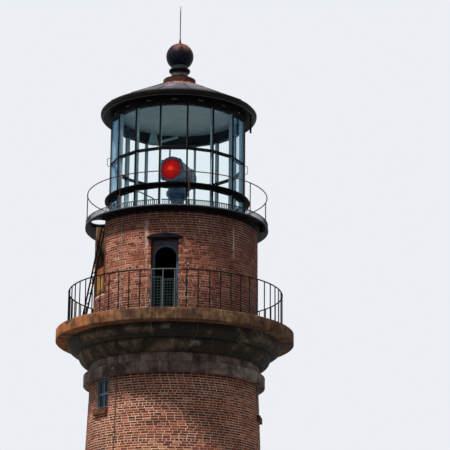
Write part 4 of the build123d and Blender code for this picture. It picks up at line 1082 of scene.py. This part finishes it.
def conductor_run():
    """Conductor strap over the stone courses, from the shaft to the deck, clamped on the belt."""
    mesh = Mesh()
    path = [(SHAFT_TOP_RADIUS + 0.01, SHAFT_TOP), (BELT_RADIUS, SHAFT_TOP),
            (BELT_RADIUS, BELT_TOP), (COURSE_BELOW["lower_ovolo"], BELT_TOP)]
    for course in ("lower_ovolo", "upper_ovolo"):
        path += ovolo_outline(course)[-2:1:-1]
    half = math.degrees(STRAP_HALF_WIDTH / BELT_RADIUS)
    turned(mesh, banded(path, STRAP_THICKNESS), CONDUCTOR_BEARING - half,
           CONDUCTOR_BEARING + half, 3)
    clamp = [(BELT_RADIUS, CLAMP_FOOT), (BELT_RADIUS, CLAMP_TOP),
             (BELT_RADIUS + CLAMP_THICKNESS, CLAMP_TOP), (BELT_RADIUS + CLAMP_THICKNESS, CLAMP_FOOT)]
    turned(mesh, clamp, CONDUCTOR_BEARING - 3 * half, CONDUCTOR_BEARING + 3 * half, 3, index=1)
    return mesh.piece("conductor_run", [looks["copper_strap"], vent_grey], "copper_strap")


bolted_feet("railing_feet", RAILING_RADIUS, DECK_TOP, BALUSTER_BEARING, BALUSTERS, 0.036,
            "black_iron")
bolted_feet("gallery_post_feet", GALLERY_RAIL_RADIUS, PLATE_TOP, GALLERY_POST_BEARING,
            GALLERY_POSTS, 0.034, "rusty_iron")
head_vents()
wall_anchors()
conductor_run()

# Camera at the photograph's viewpoint
CAMERA_PLACE = Vector((0.0, -45.939, -2.961))
YAW, PITCH, ROLL = (math.radians(angle) for angle in (1.6375, 16.0686, 0.5606))
ahead = Vector((math.sin(YAW) * math.cos(PITCH), math.cos(YAW) * math.cos(PITCH), math.sin(PITCH)))
level_right = Vector((math.cos(YAW), -math.sin(YAW), 0))
level_up = level_right.cross(ahead)
right = level_right * math.cos(ROLL) + level_up * math.sin(ROLL)
up = level_up * math.cos(ROLL) - level_right * math.sin(ROLL)
camera_data = bpy.data.cameras.new("photo_camera")
camera_data.lens = 140
camera_data.sensor_width = 36
camera_data.clip_end = 200
camera = bpy.data.objects.new("photo_camera", camera_data)
turn = Matrix((right, up, -ahead)).transposed().to_4x4()
camera.matrix_world = Matrix.Translation(CAMERA_PLACE) @ turn
bpy.context.scene.collection.objects.link(camera)
bpy.context.scene.camera = camera


def studio():
    """Pale floor, a warm key from the upper left of the front, and an even pale surround."""
    mesh = bpy.data.meshes.new("floor")
    rim = [spot(i * 360 / FLOOR_SIDES, FLOOR_RADIUS, -0.001) for i in range(FLOOR_SIDES)]
    mesh.from_pydata(rim, [], [tuple(range(FLOOR_SIDES))])
    look = Look("floor_paper", roughness=0.9)
    paper = look.ramp(look.noise(0.8), (0.3, (196, 196, 196)), (0.7, (204, 204, 204)))
    look.colour(look.mix(look.seen(), (96, 92, 88), paper))
    mesh.materials.append(look.material)
    floor = bpy.data.objects.new("floor", mesh)
    bpy.context.scene.collection.objects.link(floor)
    key = bpy.data.lights.new("key", "SUN")
    key.energy = KEY_STRENGTH
    key.angle = math.radians(5)
    key.color = (1.0, 0.94, 0.85)
    lamp = bpy.data.objects.new("key", key)
    rise = math.radians(KEY_RISE)
    towards = spot(KEY_BEARING, math.cos(rise), math.sin(rise))
    lamp.rotation_euler = towards.to_track_quat("Z", "Y").to_euler()
    bpy.context.scene.collection.objects.link(lamp)
    world = bpy.data.worlds.new("surround")
    world.use_nodes = True
    sky = Nodes(world.node_tree)
    direction = sky.node("ShaderNodeSeparateXYZ")
    sky.put(direction.inputs[0], sky.node("ShaderNodeTexCoord").outputs["Generated"])
    dome = sky.node("ShaderNodeValToRGB")
    sky.put(dome.inputs[0], direction.outputs[2])
    below, above = dome.color_ramp.elements
    below.position = 0.0
    below.color = (0.2, 0.2, 0.21, 1)
    above.position = 0.25
    above.color = (0.93, 0.96, 1.0, 1)
    light = sky.tree.nodes["Background"]
    light.inputs["Strength"].default_value = FILL_STRENGTH
    sky.put(light.inputs["Color"], dome.outputs[0])
    backdrop = sky.node("ShaderNodeBackground")
    backdrop.inputs["Color"].default_value = linear(236, 239, 244)
    backdrop.inputs["Strength"].default_value = 1.0
    shown = sky.blended(sky.seen(), light.outputs[0], backdrop.outputs[0])
    sky.put(sky.tree.nodes["World Output"].inputs["Surface"], shown)
    bpy.context.scene.world = world


studio()
bpy.context.scene.view_settings.view_transform = "Standard"
